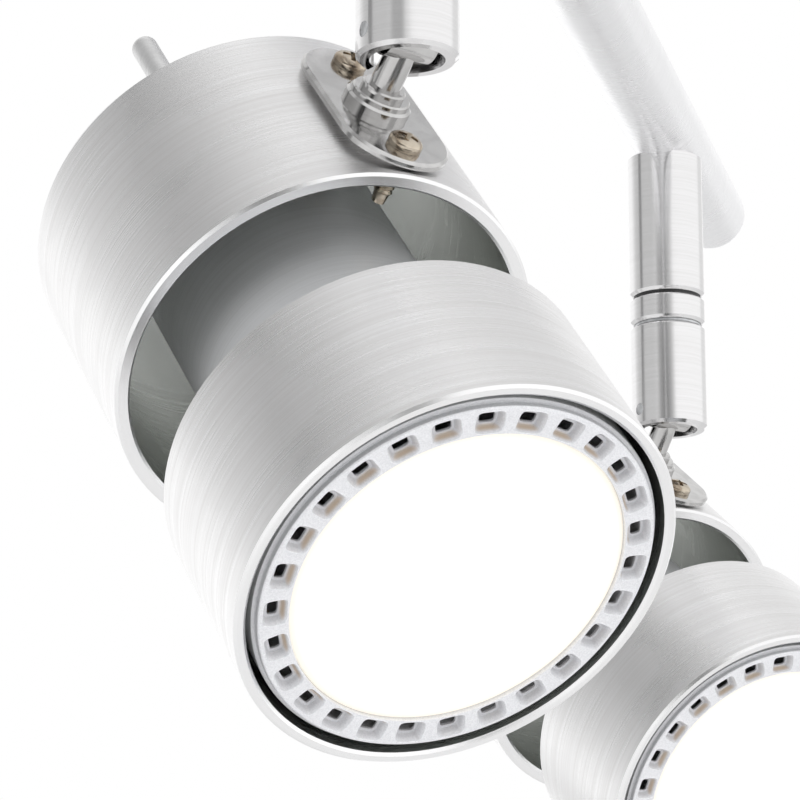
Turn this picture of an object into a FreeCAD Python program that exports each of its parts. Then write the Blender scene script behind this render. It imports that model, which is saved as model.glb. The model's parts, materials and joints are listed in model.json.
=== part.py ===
import FreeCAD, Part
import math
import os

# Two-head ceiling spotlight on a round bar. Millimetres, +Z up, origin on the ceiling at the middle of
# the canopy. +X runs along the bar from the near head to the far head.
#
# Three working frames are used:
#   row frame   the finished object
#   stem frame  origin on a head's tilt axle, +Z up the stem, +X the way the head is turned
#   head frame  origin on the same axle, +X the way the lamp shines, +Z up the arm's pin
# A distance called "back" is measured behind the front rim of a head, along the lamp's axis.

Vector = FreeCAD.Vector
os.makedirs("parts", exist_ok=True)

# --- Pose of the two heads -------------------------------------------------------------------------
HEADS = ("near", "far")
HEAD_SIDE = {"near": -1, "far": 1}          # which end of the bar, along X
HEAD_TURN = {"near": 226.6, "far": 227.0}   # degrees about +Z, 0 = turned towards +X
HEAD_TILT = {"near": 48.25, "far": 38.0}    # degrees that the lamp points below level

# --- Ceiling side ----------------------------------------------------------------------------------
HEAD_SPACING = 185.0
BAR_OVERHANG = 52.0          # bar beyond each stem, end cap included
BAR_RADIUS = 6.35
BAR_WALL = 1.2
END_CAP_LENGTH = 3.0
END_CAP_ROUND = 2.2
END_CAP_PLUG = 8.0
CANOPY_RADIUS = 50.0
CANOPY_DEPTH = 24.0
CANOPY_WALL = 1.2
CANOPY_ROUND = 3.0
POST_LENGTH = 14.65
POST_RADIUS = 4.75
POST_SPACING = 56.0
WIRE_BORE_RADIUS = 2.6
POST_THREAD_RADIUS = 4.0
POST_THREAD_RISE = 6.5
POST_NUT_FLATS = 13.0
POST_NUT_HEIGHT = 4.0
PLATE_THICKNESS = 1.5
PLATE_WIDTH = 36.0
PLATE_CLEARANCE = 0.8        # between the crossplate and the inside of the canopy
SLOT_SPACING = 60.0
SLOT_LENGTH = 10.0
SLOT_WIDTH = 4.5
LUG_WIDTH = 14.0
LUG_DEPTH = 14.0
SIDE_SCREW_DROP = 9.0
SIDE_SCREW_RADIUS = 1.75
SIDE_SCREW_HEAD_RADIUS = 3.2
SIDE_SCREW_HEAD_HEIGHT = 2.0
ENTRY_OFFSET = -9.0          # cable entry from the canopy's middle, along Y
ENTRY_HOLE_RADIUS = 6.0
ENTRY_BORE_RADIUS = 4.5
GROMMET_LIP = 1.5
BLOCK_LENGTH = 30.0
BLOCK_WIDTH = 14.0
BLOCK_HEIGHT = 13.0
BLOCK_MIDDLE = 10.5          # terminal block from the canopy's middle, along Y
BLOCK_POLES = 3
BLOCK_SCREW_RADIUS = 1.6
BLOCK_FUNNEL_RADIUS = 1.9
BLOCK_SCREW_DEPTH = 5.0
BLOCK_SCREW_SET_IN = 1.0
BLOCK_SCREW_SLOT = 0.6

# --- Stem: sleeve, collar and turning barrel --------------------------------------------------------
STEM_RADIUS = 6.35
STEM_CHAMFER = 0.5
AXLE_RISE = 2.8              # tilt axle above the barrel's lower face
BARREL_LENGTH = 17.8
COLLAR_LENGTH = 4.5
SLEEVE_LENGTH = 25.1
GROOVE_WIDTH = 0.5
SLEEVE_ROOF = 3.0
BAR_SEAT_DEPTH = 1.0         # how far the bar sinks into the sleeve's top
BARREL_WALL = 1.7
BARREL_BORE_DEPTH = 10.8
BARREL_WEB = 2.2
SPINDLE_RADIUS = 4.0
SPINDLE_TAIL_RADIUS = 2.9    # threaded top that takes the nut
RUNNING_GAP = 0.06           # radial, between a shaft and its bearing
FACE_GAP = 0.05              # between two faces that turn on each other
LOOSE_GAP = 0.3              # between moving surfaces that never bear on each other
BUSH_LENGTH = 4.0
BUSH_WALL = 0.94
WASHER_THICKNESS = 0.4
SPINDLE_NUT_GAP = 0.3        # between the nut's corners and the sleeve
SPINDLE_NUT_HEIGHT = 3.0
SPINDLE_END = 1.3
STUD_RADIUS = 4.0
STUD_HEAD_GAP = 0.25
STUD_HEAD_HEIGHT = 1.5
STUD_LEAD_BORE = 1.8
STUD_ENTRY = 1.0             # how far the stud stands into the bar's bore

OVERCUT = 1.0                # how far a cutter runs past the face it starts from
SAME_PLACE = 1e-6            # two heights closer than this are one

# --- Pan head screws, as shares of the head's radius or height ----------------------------------------
HEAD_RIM_SHARE = 0.45        # straight part of the head
CROSS_REACH_SHARE = 0.68
CROSS_HALF_SHARE = 0.13
CROSS_DEPTH_SHARE = 0.55

# --- Knuckle ----------------------------------------------------------------------------------------
AXLE_RADIUS = 1.0
AXLE_SETBACK = 0.2           # axle's ends below the barrel's surface
EYE_RADIUS = 2.6
EYE_GAP = 0.65               # between the eye's corners and the barrel's bore
PIN_RADIUS = 2.0
ARM_BORE_RADIUS = 1.0
ARM_CLEARANCE = 0.45         # between the arm's collar and the barrel, at full tilt
COLLAR_RADIUS = 2.85
SHOULDER_RADIUS = 3.8
SHOULDER_HEIGHT = 0.7
ARM_COLLAR_HEIGHT = 0.9
ARM_EDGE_CHAMFER = 0.2
BOSS_RADIUS = 4.3
BOSS_HEIGHT = 1.2
BOSS_CHAMFER = 0.3
SADDLE_MARGIN = 2.85         # cup left bare before and behind the saddle, on average
SADDLE_LEAD = 1.55           # saddle's middle ahead of the cup's middle
SADDLE_WIDTH = 14.7
SADDLE_THICKNESS = 1.2       # over the crest of the cup
SADDLE_CHAMFER = 0.35
SADDLE_LIP = 1.4             # how far the plate stands out past the pad that fits the cup
SADDLE_LIP_THICKNESS = 0.95
SADDLE_SCREW_INSET = 4.1     # from the saddle's end
SADDLE_SCREW_RADIUS = 1.25
SADDLE_SCREW_LENGTH = 8.0
SADDLE_SCREW_HEAD_RADIUS = 2.2
SADDLE_SCREW_HEAD_HEIGHT = 1.5
SPIGOT_RADIUS = 1.9
ARM_NUT_FLATS = 7.0
ARM_NUT_HEIGHT = 2.4
ARM_NUT_GAP = 0.4            # lets the flat nut clear the curved wall at its corners
SPIGOT_END = 0.7

# --- Head -------------------------------------------------------------------------------------------
LAMP_GAP = 0.85              # between lamp and front ring
RIM_CHAMFER = 0.35
RING_DEPTH_SPARE = 2.7       # between the lamp's cone and the ring's back wall
RING_WALL = 1.45
RING_BACK = 1.5
NECK_GAP = 18.5              # open space between front ring and rear cup
CUP_WALL = 1.93
CUP_FLOOR = 2.0
CUP_RECESS = 3.2             # floor set in from the cup's back rim
LAMP_BODY_GAP = 0.9          # between lamp body and neck
NECK_WALL = 1.4
NECK_FLANGE_HOLE = 6.0
NECK_SIDE_HOLE = 2.2
PEG_RADIUS = 1.7
PEG_LENGTH = 17.7
PEG_ROUND = 1.2
PEG_SPIGOT_RADIUS = 1.3
PEG_UP = 14.5                # from the lamp's axis, along the head's +Z
PEG_SIDE = -15.4             # from the lamp's axis, along the head's +Y
REAR_SCREW_RADIUS = 1.5
REAR_SCREW_HEAD_RADIUS = 2.7
REAR_SCREW_HEAD_HEIGHT = 1.8
REAR_SCREW_LENGTH = 9.0

# --- Lamp and lampholder ----------------------------------------------------------------------------
LAMP_RADIUS = 25.0
LAMP_LENGTH = 52.0
LAMP_WALL = 1.5
LAMP_SKIRT = 9.0
LAMP_CONE_END = 21.5
LAMP_BODY_RADIUS = 13.8
LAMP_BASE_LENGTH = 8.0
LAMP_FACE_WIDTH = 4.15       # metal ring round the diffuser
DIFFUSER_THICKNESS = 2.0
DIFFUSER_SET_IN = 0.1
VENT_COUNT = 27
VENT_MARGIN = 0.6            # metal left between diffuser and vents
VENT_LENGTH = 1.9
VENT_WIDTH = 3.1
LAMP_BASE_RADIUS = 11.5
LAMP_BASE_COLLAR = 3.0
LAMP_BASE_PLUG = 4.0
PIN_SPACING = 10.0
CONTACT_RADIUS = 1.6
CONTACT_LENGTH = 4.2
CONTACT_HEAD_RADIUS = 2.4
CONTACT_HEAD_LENGTH = 2.6
HOLDER_RADIUS = 11.0
HOLDER_LENGTH = 13.0
HOLDER_FRONT_WALL = 3.3
HOLDER_POCKET_DEPTH = 9.0
HOLDER_FOOT_RADIUS = 2.6
HOLDER_FOOT_LENGTH = 5.4
HOLDER_FOOT_INSET = 0.4
TWIST_ANGLE = 25.0           # turn that frees the lamp

# --- Leads ------------------------------------------------------------------------------------------
LEAD_RADIUS = 0.6
LEAD_OFFSET = 0.8            # each lead beside the middle of its bore
LEAD_START_SPREAD = 2.2
LEAD_BEND = 4.0
HEAD_LEAD_BEND = 1.4
HEAD_LEAD_RISE = 6.6         # where the leads enter the lampholder, above the lamp's axis
LEAD_RUN = 7.0
LEAD_FALL = 6.0

# --- Radii, heights and distances that follow --------------------------------------------------------
BUSH_RADIUS = SPINDLE_RADIUS + RUNNING_GAP + BUSH_WALL
GROOVE_RADIUS = (STEM_RADIUS + BUSH_RADIUS) / 2
BARREL_BORE_RADIUS = STEM_RADIUS - BARREL_WALL
SPINDLE_NUT_CORNER = BUSH_RADIUS - SPINDLE_NUT_GAP
STUD_HEAD_RADIUS = BUSH_RADIUS - STUD_HEAD_GAP
AXLE_LENGTH = 2 * (STEM_RADIUS - AXLE_SETBACK)
EYE_WIDTH = 2 * (math.sqrt(BARREL_BORE_RADIUS ** 2 - EYE_RADIUS ** 2) - EYE_GAP)

BARREL_BOTTOM = -AXLE_RISE
BARREL_TOP = BARREL_BOTTOM + BARREL_LENGTH
COLLAR_BOTTOM = BARREL_TOP + GROOVE_WIDTH
COLLAR_TOP = COLLAR_BOTTOM + COLLAR_LENGTH
SLEEVE_BOTTOM = COLLAR_TOP + GROOVE_WIDTH
SLEEVE_TOP = SLEEVE_BOTTOM + SLEEVE_LENGTH
BAR_ABOVE_AXLE = SLEEVE_TOP - BAR_SEAT_DEPTH + BAR_RADIUS
BUSH_TOP = SLEEVE_BOTTOM + BUSH_LENGTH
NUT_BOTTOM = BUSH_TOP + FACE_GAP + WASHER_THICKNESS
SPINDLE_TOP = NUT_BOTTOM + SPINDLE_NUT_HEIGHT + SPINDLE_END
BAR_Z = -(CANOPY_DEPTH + POST_LENGTH + BAR_RADIUS)
AXLE_Z = BAR_Z - BAR_ABOVE_AXLE
STEM_X = HEAD_SPACING / 2
POST_X = POST_SPACING / 2
BAR_BORE_RADIUS = BAR_RADIUS - BAR_WALL
TUBE_HALF = STEM_X + BAR_OVERHANG - END_CAP_LENGTH
CANOPY_BORE_RADIUS = CANOPY_RADIUS - CANOPY_WALL

RING_BORE_RADIUS = LAMP_RADIUS + LAMP_GAP
HEAD_RADIUS = RING_BORE_RADIUS + RING_WALL
CUP_BORE_RADIUS = HEAD_RADIUS - CUP_WALL
NECK_BORE_RADIUS = LAMP_BODY_RADIUS + LAMP_BODY_GAP
NECK_RADIUS = NECK_BORE_RADIUS + NECK_WALL
NECK_SPIGOT_RADIUS = NECK_BORE_RADIUS + NECK_WALL / 2
DIFFUSER_RADIUS = LAMP_RADIUS - LAMP_FACE_WIDTH
VENT_MIDDLE_RADIUS = DIFFUSER_RADIUS + VENT_MARGIN + VENT_LENGTH / 2
REAR_SCREW_OFFSET = HOLDER_RADIUS - HOLDER_FOOT_RADIUS - HOLDER_FOOT_INSET

RING_LENGTH = LAMP_CONE_END + RING_DEPTH_SPARE + RING_BACK
LAMP_BODY_END = LAMP_LENGTH - LAMP_BASE_LENGTH
HOLDER_FRONT = LAMP_LENGTH + LOOSE_GAP
HOLDER_BACK = HOLDER_FRONT + HOLDER_LENGTH
NECK_FLANGE_FRONT = HOLDER_BACK + HOLDER_FOOT_LENGTH
FLOOR_FRONT = NECK_FLANGE_FRONT + NECK_WALL
FLOOR_BACK = FLOOR_FRONT + CUP_FLOOR
CUP_FRONT = RING_LENGTH + NECK_GAP
CUP_BACK = FLOOR_BACK + CUP_RECESS
CUP_LENGTH = CUP_BACK - CUP_FRONT
SIDE_HOLE_BACK = (HOLDER_BACK + NECK_FLANGE_FRONT) / 2

SADDLE_BACK = (CUP_FRONT + CUP_BACK) / 2 - SADDLE_LEAD
SADDLE_LENGTH = CUP_LENGTH - 2 * SADDLE_MARGIN
SADDLE_SCREW_SPACING = SADDLE_LENGTH - 2 * SADDLE_SCREW_INSET
ARM_STACK = ARM_COLLAR_HEIGHT + SHOULDER_HEIGHT + BOSS_HEIGHT + SADDLE_THICKNESS
ARM_REACH = STEM_RADIUS + ARM_CLEARANCE + ARM_STACK      # tilt axle above the cup's surface
AXIS_DROP = ARM_REACH + HEAD_RADIUS                      # lamp's axis below the tilt axle, in the head frame
SADDLE_TOP = -(ARM_REACH - SADDLE_THICKNESS)
BOSS_TOP = SADDLE_TOP + BOSS_HEIGHT
ARM_NUT_TOP = -(ARM_REACH + CUP_WALL + ARM_NUT_GAP)
SPIGOT_TIP = ARM_NUT_TOP - ARM_NUT_HEIGHT - SPIGOT_END

UP = Vector(0, 0, 1)
ALONG = Vector(1, 0, 0)
ACROSS = Vector(0, 1, 0)


# --- Solid helpers ----------------------------------------------------------------------------------
def spun(points, origin, axis):
    """Solid of revolution of a closed outline of vectors."""
    outline = Part.makePolygon(points + [points[0]])
    return Part.Face(outline).revolve(origin, axis, 360)


def spun_up(outline):
    """Solid about Z from (height, radius) pairs."""
    return spun([Vector(radius, 0, height) for height, radius in outline], Vector(), UP)


def spun_on_lamp(outline):
    """Solid about the lamp's axis, in the head frame, from (back, radius) pairs."""
    points = [Vector(SADDLE_BACK - back, 0, radius - AXIS_DROP) for back, radius in outline]
    return spun(points, Vector(0, 0, -AXIS_DROP), ALONG)


def rod(radius, start, end):
    """Cylinder from one point to another."""
    direction = end.sub(start)
    return Part.makeCylinder(radius, direction.Length, start, direction)


def block(low, high):
    """Box between two opposite corners."""
    size = high.sub(low)
    return Part.makeBox(size.x, size.y, size.z, low)


def hexagon(flats, start, end):
    """Hexagonal prism between two points on Z-like axes."""
    corner = flats / math.sqrt(3)
    turns = [math.radians(60 * step) for step in range(6)]
    points = [start.add(Vector(corner * math.cos(turn), corner * math.sin(turn), 0)) for turn in turns]
    return Part.Face(Part.makePolygon(points + [points[0]])).extrude(end.sub(start))


def stadium(length, width, bottom, top):
    """Upright prism with round ends, its length along X."""
    half = length / 2 - width / 2
    body = block(Vector(-half, -width / 2, bottom), Vector(half, width / 2, top))
    ends = [rod(width / 2, Vector(side * half, 0, bottom), Vector(side * half, 0, top)) for side in (-1, 1)]
    return body.multiFuse(ends).removeSplitter()


def on_lamp(back, up=0.0, side=0.0):
    """Point of the head frame from its distance behind the front rim and its place off the lamp's axis."""
    return Vector(SADDLE_BACK - back, side, up - AXIS_DROP)


def pan_head_screw(radius, length, head_radius, head_height):
    """Screw pointing down from its seat at the origin, with a domed head and a cross recess."""
    rim = HEAD_RIM_SHARE * head_height
    shank = rod(radius, Vector(0, 0, -length), Vector(0, 0, 0))
    low = Part.makeCylinder(head_radius, rim)
    dome_rise = head_height - rim
    ball_radius = (head_radius ** 2 + dome_rise ** 2) / (2 * dome_rise)
    ball = Part.makeSphere(ball_radius, Vector(0, 0, head_height - ball_radius))
    dome = ball.common(Part.makeCylinder(head_radius, dome_rise, Vector(0, 0, rim)))
    screw = shank.multiFuse([low, dome])
    arm = CROSS_REACH_SHARE * head_radius
    half = CROSS_HALF_SHARE * head_radius
    low = (1 - CROSS_DEPTH_SHARE) * head_height
    high = 2 * head_height
    for reach_x, reach_y in ((arm, half), (half, arm)):
        screw = screw.cut(block(Vector(-reach_x, -reach_y, low), Vector(reach_x, reach_y, high)))
    return screw


def swept_lead(points, bend):
    """Round lead along straight runs joined by tangent arcs."""
    edges = []
    start = points[0]
    for before, corner, after in zip(points, points[1:], points[2:]):
        back_way = before.sub(corner).normalize()
        on_way = after.sub(corner).normalize()
        half_angle = back_way.getAngle(on_way) / 2
        setback = bend / math.tan(half_angle)
        enter = corner.add(back_way * setback)
        leave = corner.add(on_way * setback)
        bisector = back_way.add(on_way).normalize()
        middle = corner.add(bisector * (bend / math.sin(half_angle) - bend))
        edges.append(Part.makeLine(start, enter))
        edges.append(Part.Arc(enter, middle, leave).toShape())
        start = leave
    edges.append(Part.makeLine(start, points[-1]))
    path = Part.Wire(edges)
    section = Part.Wire(Part.makeCircle(LEAD_RADIUS, points[0], points[1].sub(points[0])))
    return path.makePipeShell([section], True, False)


# --- Frames -----------------------------------------------------------------------------------------
def from_stem(shape, head):
    """Put a piece of the stem frame into the row frame."""
    place = FreeCAD.Placement(Vector(HEAD_SIDE[head] * STEM_X, 0, AXLE_Z),
                              FreeCAD.Rotation(UP, HEAD_TURN[head]))
    return shape.transformed(place.toMatrix())


def from_head(shape, head):
    """Put a piece of the head frame into the row frame."""
    tilt = FreeCAD.Placement(Vector(), FreeCAD.Rotation(ACROSS, HEAD_TILT[head]))
    return from_stem(shape.transformed(tilt.toMatrix()), head)


# --- Ceiling side pieces ----------------------------------------------------------------------------
def slot_cutter(middle_x):
    """Round-ended slot of the crossplate, centred at one X."""
    cutter = stadium(SLOT_LENGTH, SLOT_WIDTH, -2 * PLATE_THICKNESS, PLATE_THICKNESS)
    return cutter.translated(Vector(middle_x, 0, 0))


def lug_outer_x():
    """Outer face of a crossplate lug, so that its corners clear the canopy."""
    return math.sqrt((CANOPY_BORE_RADIUS - PLATE_CLEARANCE) ** 2 - (LUG_WIDTH / 2) ** 2)


def mounting_plate():
    """Crossplate with two screw slots, a cable hole and two turned-down lugs."""
    disc_radius = CANOPY_BORE_RADIUS - PLATE_CLEARANCE
    disc = rod(disc_radius, Vector(0, 0, -PLATE_THICKNESS), Vector(0, 0, 0))
    strip = block(Vector(-disc_radius, -PLATE_WIDTH / 2, -PLATE_THICKNESS),
                  Vector(disc_radius, PLATE_WIDTH / 2, 0))
    plate = disc.common(strip)
    outer = lug_outer_x()
    ends = []
    for side in (-1, 1):
        near_x, far_x = sorted((side * outer, side * (outer - PLATE_THICKNESS)))
        ends.append(block(Vector(near_x, -LUG_WIDTH / 2, -LUG_DEPTH), Vector(far_x, LUG_WIDTH / 2, 0)))
    plate = plate.multiFuse(ends)
    for side in (-1, 1):
        plate = plate.cut(slot_cutter(side * SLOT_SPACING / 2))
    entry = Vector(0, ENTRY_OFFSET, OVERCUT)
    plate = plate.cut(rod(ENTRY_HOLE_RADIUS, entry - Vector(0, 0, PLATE_WIDTH), entry))
    screw_line = rod(SIDE_SCREW_RADIUS, Vector(-CANOPY_RADIUS, 0, -SIDE_SCREW_DROP),
                     Vector(CANOPY_RADIUS, 0, -SIDE_SCREW_DROP))
    return plate.cut(screw_line).removeSplitter()


def entry_grommet():
    """Soft ring that lines the cable hole."""
    bottom = -PLATE_THICKNESS - GROMMET_LIP
    lip_radius = ENTRY_HOLE_RADIUS + GROMMET_LIP
    ring = spun_up([(bottom, ENTRY_BORE_RADIUS), (bottom, lip_radius), (-PLATE_THICKNESS, lip_radius),
                    (-PLATE_THICKNESS, ENTRY_HOLE_RADIUS), (0, ENTRY_HOLE_RADIUS), (0, ENTRY_BORE_RADIUS)])
    return ring.translated(Vector(0, ENTRY_OFFSET, 0))


def canopy_cover():
    """Round cup over the ceiling connection, open upwards."""
    bend = CANOPY_ROUND
    diagonal = bend * (1 - math.sqrt(0.5))
    inner = CANOPY_BORE_RADIUS
    arc_outer = Part.Arc(Vector(CANOPY_RADIUS, 0, -CANOPY_DEPTH + bend),
                         Vector(CANOPY_RADIUS - diagonal, 0, -CANOPY_DEPTH + diagonal),
                         Vector(CANOPY_RADIUS - bend, 0, -CANOPY_DEPTH)).toShape()
    bend_in = bend - CANOPY_WALL
    diagonal_in = bend_in * (1 - math.sqrt(0.5))
    floor = -CANOPY_DEPTH + CANOPY_WALL
    arc_inner = Part.Arc(Vector(inner - bend_in, 0, floor),
                         Vector(inner - diagonal_in, 0, floor + diagonal_in),
                         Vector(inner, 0, floor + bend_in)).toShape()
    outline = Part.Wire([
        Part.makeLine(Vector(inner, 0, 0), Vector(CANOPY_RADIUS, 0, 0)),
        Part.makeLine(Vector(CANOPY_RADIUS, 0, 0), Vector(CANOPY_RADIUS, 0, -CANOPY_DEPTH + bend)),
        arc_outer,
        Part.makeLine(Vector(CANOPY_RADIUS - bend, 0, -CANOPY_DEPTH), Vector(0, 0, -CANOPY_DEPTH)),
        Part.makeLine(Vector(0, 0, -CANOPY_DEPTH), Vector(0, 0, floor)),
        Part.makeLine(Vector(0, 0, floor), Vector(inner - bend_in, 0, floor)),
        arc_inner,
        Part.makeLine(Vector(inner, 0, floor + bend_in), Vector(inner, 0, 0)),
    ])
    cover = Part.Face(outline).revolve(Vector(), UP, 360)
    for side in (-1, 1):
        place = Vector(side * POST_X, 0, 0)
        cover = cover.cut(rod(POST_THREAD_RADIUS, place - Vector(0, 0, CANOPY_DEPTH + OVERCUT), place))
    screw_line = rod(SIDE_SCREW_RADIUS, Vector(-CANOPY_RADIUS - 1, 0, -SIDE_SCREW_DROP),
                     Vector(CANOPY_RADIUS + 1, 0, -SIDE_SCREW_DROP))
    return cover.cut(screw_line)


def canopy_screws():
    """Two side screws through the canopy into the crossplate's lugs."""
    length = CANOPY_RADIUS - lug_outer_x() + 2 * PLATE_THICKNESS
    screws = []
    for turn in (90, -90):
        screw = pan_head_screw(SIDE_SCREW_RADIUS, length, SIDE_SCREW_HEAD_RADIUS, SIDE_SCREW_HEAD_HEIGHT)
        screw = screw.rotated(Vector(), ACROSS, turn)
        screws.append(screw.translated(Vector(math.copysign(CANOPY_RADIUS, turn), 0, -SIDE_SCREW_DROP)))
    return Part.makeCompound(screws)


def bar_blank(radius, half_length):
    """Solid rod on the bar's axis."""
    return rod(radius, Vector(-half_length, 0, BAR_Z), Vector(half_length, 0, BAR_Z))


def canopy_posts():
    """Two hollow posts that carry the bar below the canopy, each with a threaded top."""
    posts = []
    for side in (-1, 1):
        place = Vector(side * POST_X, 0, 0)
        post = rod(POST_RADIUS, place + Vector(0, 0, BAR_Z), place + Vector(0, 0, -CANOPY_DEPTH))
        top = -CANOPY_DEPTH + POST_THREAD_RISE
        thread = rod(POST_THREAD_RADIUS, place + Vector(0, 0, -CANOPY_DEPTH), place + Vector(0, 0, top))
        post = post.fuse(thread).cut(bar_blank(BAR_RADIUS, STEM_X))
        posts.append(post.cut(rod(WIRE_BORE_RADIUS, place + Vector(0, 0, BAR_Z), place)))
    return Part.makeCompound(posts)


def post_nuts():
    """Nuts that pull the posts up against the canopy."""
    bottom = -CANOPY_DEPTH + CANOPY_WALL
    nuts = []
    for side in (-1, 1):
        low = Vector(side * POST_X, 0, bottom)
        high = low + Vector(0, 0, POST_NUT_HEIGHT)
        nuts.append(hexagon(POST_NUT_FLATS, low, high).cut(rod(POST_THREAD_RADIUS, low, high)))
    return Part.makeCompound(nuts)


def support_bar():
    """Round tube with wire holes under the posts and over the stems."""
    bar = bar_blank(BAR_RADIUS, TUBE_HALF).cut(bar_blank(BAR_BORE_RADIUS, TUBE_HALF))
    for side in (-1, 1):
        post = Vector(side * POST_X, 0, BAR_Z)
        stem = Vector(side * STEM_X, 0, BAR_Z)
        bar = bar.cut(rod(WIRE_BORE_RADIUS, post, post + Vector(0, 0, BAR_RADIUS + OVERCUT)))
        bar = bar.cut(rod(STUD_RADIUS, stem - Vector(0, 0, BAR_RADIUS + OVERCUT), stem))
    return bar


def bar_end_caps():
    """Rounded caps with a plug that fits the bar's bore."""
    arc_x = END_CAP_LENGTH - END_CAP_ROUND
    arc_r = BAR_RADIUS - END_CAP_ROUND
    slant = END_CAP_ROUND * math.sqrt(0.5)
    outline = Part.Wire([
        Part.makeLine(Vector(-END_CAP_PLUG, 0, 0), Vector(-END_CAP_PLUG, 0, BAR_BORE_RADIUS)),
        Part.makeLine(Vector(-END_CAP_PLUG, 0, BAR_BORE_RADIUS), Vector(0, 0, BAR_BORE_RADIUS)),
        Part.makeLine(Vector(0, 0, BAR_BORE_RADIUS), Vector(0, 0, BAR_RADIUS)),
        Part.makeLine(Vector(0, 0, BAR_RADIUS), Vector(arc_x, 0, BAR_RADIUS)),
        Part.Arc(Vector(arc_x, 0, BAR_RADIUS), Vector(arc_x + slant, 0, arc_r + slant),
                 Vector(END_CAP_LENGTH, 0, arc_r)).toShape(),
        Part.makeLine(Vector(END_CAP_LENGTH, 0, arc_r), Vector(END_CAP_LENGTH, 0, 0)),
        Part.makeLine(Vector(END_CAP_LENGTH, 0, 0), Vector(-END_CAP_PLUG, 0, 0)),
    ])
    cap = Part.Face(outline).revolve(Vector(), ALONG, 360)
    far_cap = cap.translated(Vector(TUBE_HALF, 0, BAR_Z))
    return Part.makeCompound([far_cap.rotated(Vector(), UP, 180), far_cap])


def pole_places():
    """X of each pole of the terminal block."""
    pitch = BLOCK_LENGTH / BLOCK_POLES
    return [(pole - (BLOCK_POLES - 1) / 2) * pitch for pole in range(BLOCK_POLES)]


def terminal_block():
    """Moulded block under the crossplate, with a funnel for each terminal screw."""
    top = -PLATE_THICKNESS
    low = Vector(-BLOCK_LENGTH / 2, BLOCK_MIDDLE - BLOCK_WIDTH / 2, top - BLOCK_HEIGHT)
    body = block(low, Vector(BLOCK_LENGTH / 2, BLOCK_MIDDLE + BLOCK_WIDTH / 2, top))
    for place in pole_places():
        mouth = Vector(place, BLOCK_MIDDLE, low.z)
        body = body.cut(rod(BLOCK_FUNNEL_RADIUS, mouth, mouth + Vector(0, 0, BLOCK_SCREW_DEPTH)))
    return body


def terminal_screws():
    """Grub screws of the terminal block."""
    low = -PLATE_THICKNESS - BLOCK_HEIGHT
    reach = Vector(BLOCK_SCREW_RADIUS, BLOCK_SCREW_SLOT / 2, BLOCK_SCREW_SET_IN)
    screws = []
    for place in pole_places():
        mouth = Vector(place, BLOCK_MIDDLE, low)
        start = mouth + Vector(0, 0, BLOCK_SCREW_SET_IN)
        end = mouth + Vector(0, 0, BLOCK_SCREW_DEPTH)
        screws.append(rod(BLOCK_SCREW_RADIUS, start, end).cut(block(start - reach, start + reach)))
    return Part.makeCompound(screws)


def supply_leads():
    """Two insulated leads to each head, from the terminal block to the top of the swivel spindle."""
    start_z = -PLATE_THICKNESS - BLOCK_HEIGHT / 2
    end_z = AXLE_Z + SPINDLE_TOP + LOOSE_GAP
    leads = []
    for side in (-1, 1):
        for row in (-1, 1):
            start_y = BLOCK_MIDDLE + row * LEAD_START_SPREAD
            bore_y = row * LEAD_OFFSET
            start_x = side * BLOCK_LENGTH / 2
            post_x = side * POST_X
            leads.append(swept_lead([
                Vector(start_x, start_y, start_z),
                Vector(start_x + side * LEAD_RUN, start_y, start_z),
                Vector(post_x, bore_y, start_z - LEAD_FALL),
                Vector(post_x, bore_y, BAR_Z),
                Vector(side * STEM_X, bore_y, BAR_Z),
                Vector(side * STEM_X, bore_y, end_z),
            ], LEAD_BEND))
    return Part.makeCompound(leads)


# --- Stem pieces ------------------------------------------------------------------------------------
def stem_sleeve():
    """Fixed upper part of the stem, seated on the bar."""
    edge = STEM_RADIUS - STEM_CHAMFER
    roof = SLEEVE_TOP - SLEEVE_ROOF
    body = spun_up([(SLEEVE_BOTTOM, BUSH_RADIUS), (SLEEVE_BOTTOM, edge),
                    (SLEEVE_BOTTOM + STEM_CHAMFER, STEM_RADIUS), (SLEEVE_TOP - STEM_CHAMFER, STEM_RADIUS),
                    (SLEEVE_TOP, edge), (SLEEVE_TOP, STUD_RADIUS), (roof, STUD_RADIUS),
                    (roof, BUSH_RADIUS)])
    return body


def seated(shape):
    """Cut the bar's seat out of a stem piece that is already in the row frame."""
    return shape.cut(bar_blank(BAR_RADIUS, STEM_X + BAR_OVERHANG))


def stem_stud():
    """Hollow stud that screws the sleeve to the bar."""
    roof = SLEEVE_TOP - SLEEVE_ROOF
    top = BAR_ABOVE_AXLE - BAR_BORE_RADIUS + STUD_ENTRY
    return spun_up([(roof - STUD_HEAD_HEIGHT, STUD_LEAD_BORE), (roof - STUD_HEAD_HEIGHT, STUD_HEAD_RADIUS),
                    (roof, STUD_HEAD_RADIUS), (roof, STUD_RADIUS), (top, STUD_RADIUS), (top, STUD_LEAD_BORE)])


def pivot_bush():
    """Bearing pressed into sleeve and collar, with a lip that makes the upper groove."""
    bore = SPINDLE_RADIUS + RUNNING_GAP
    return spun_up([(COLLAR_BOTTOM, bore), (COLLAR_BOTTOM, BUSH_RADIUS), (COLLAR_TOP, BUSH_RADIUS),
                    (COLLAR_TOP, GROOVE_RADIUS), (SLEEVE_BOTTOM, GROOVE_RADIUS),
                    (SLEEVE_BOTTOM, BUSH_RADIUS), (BUSH_TOP, BUSH_RADIUS), (BUSH_TOP, bore)])


def swivel_collar():
    """Ring pressed on the bush, between sleeve and barrel."""
    edge = STEM_RADIUS - STEM_CHAMFER
    return spun_up([(COLLAR_BOTTOM, BUSH_RADIUS), (COLLAR_BOTTOM, edge),
                    (COLLAR_BOTTOM + STEM_CHAMFER, STEM_RADIUS), (COLLAR_TOP - STEM_CHAMFER, STEM_RADIUS),
                    (COLLAR_TOP, edge), (COLLAR_TOP, BUSH_RADIUS)])


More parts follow.
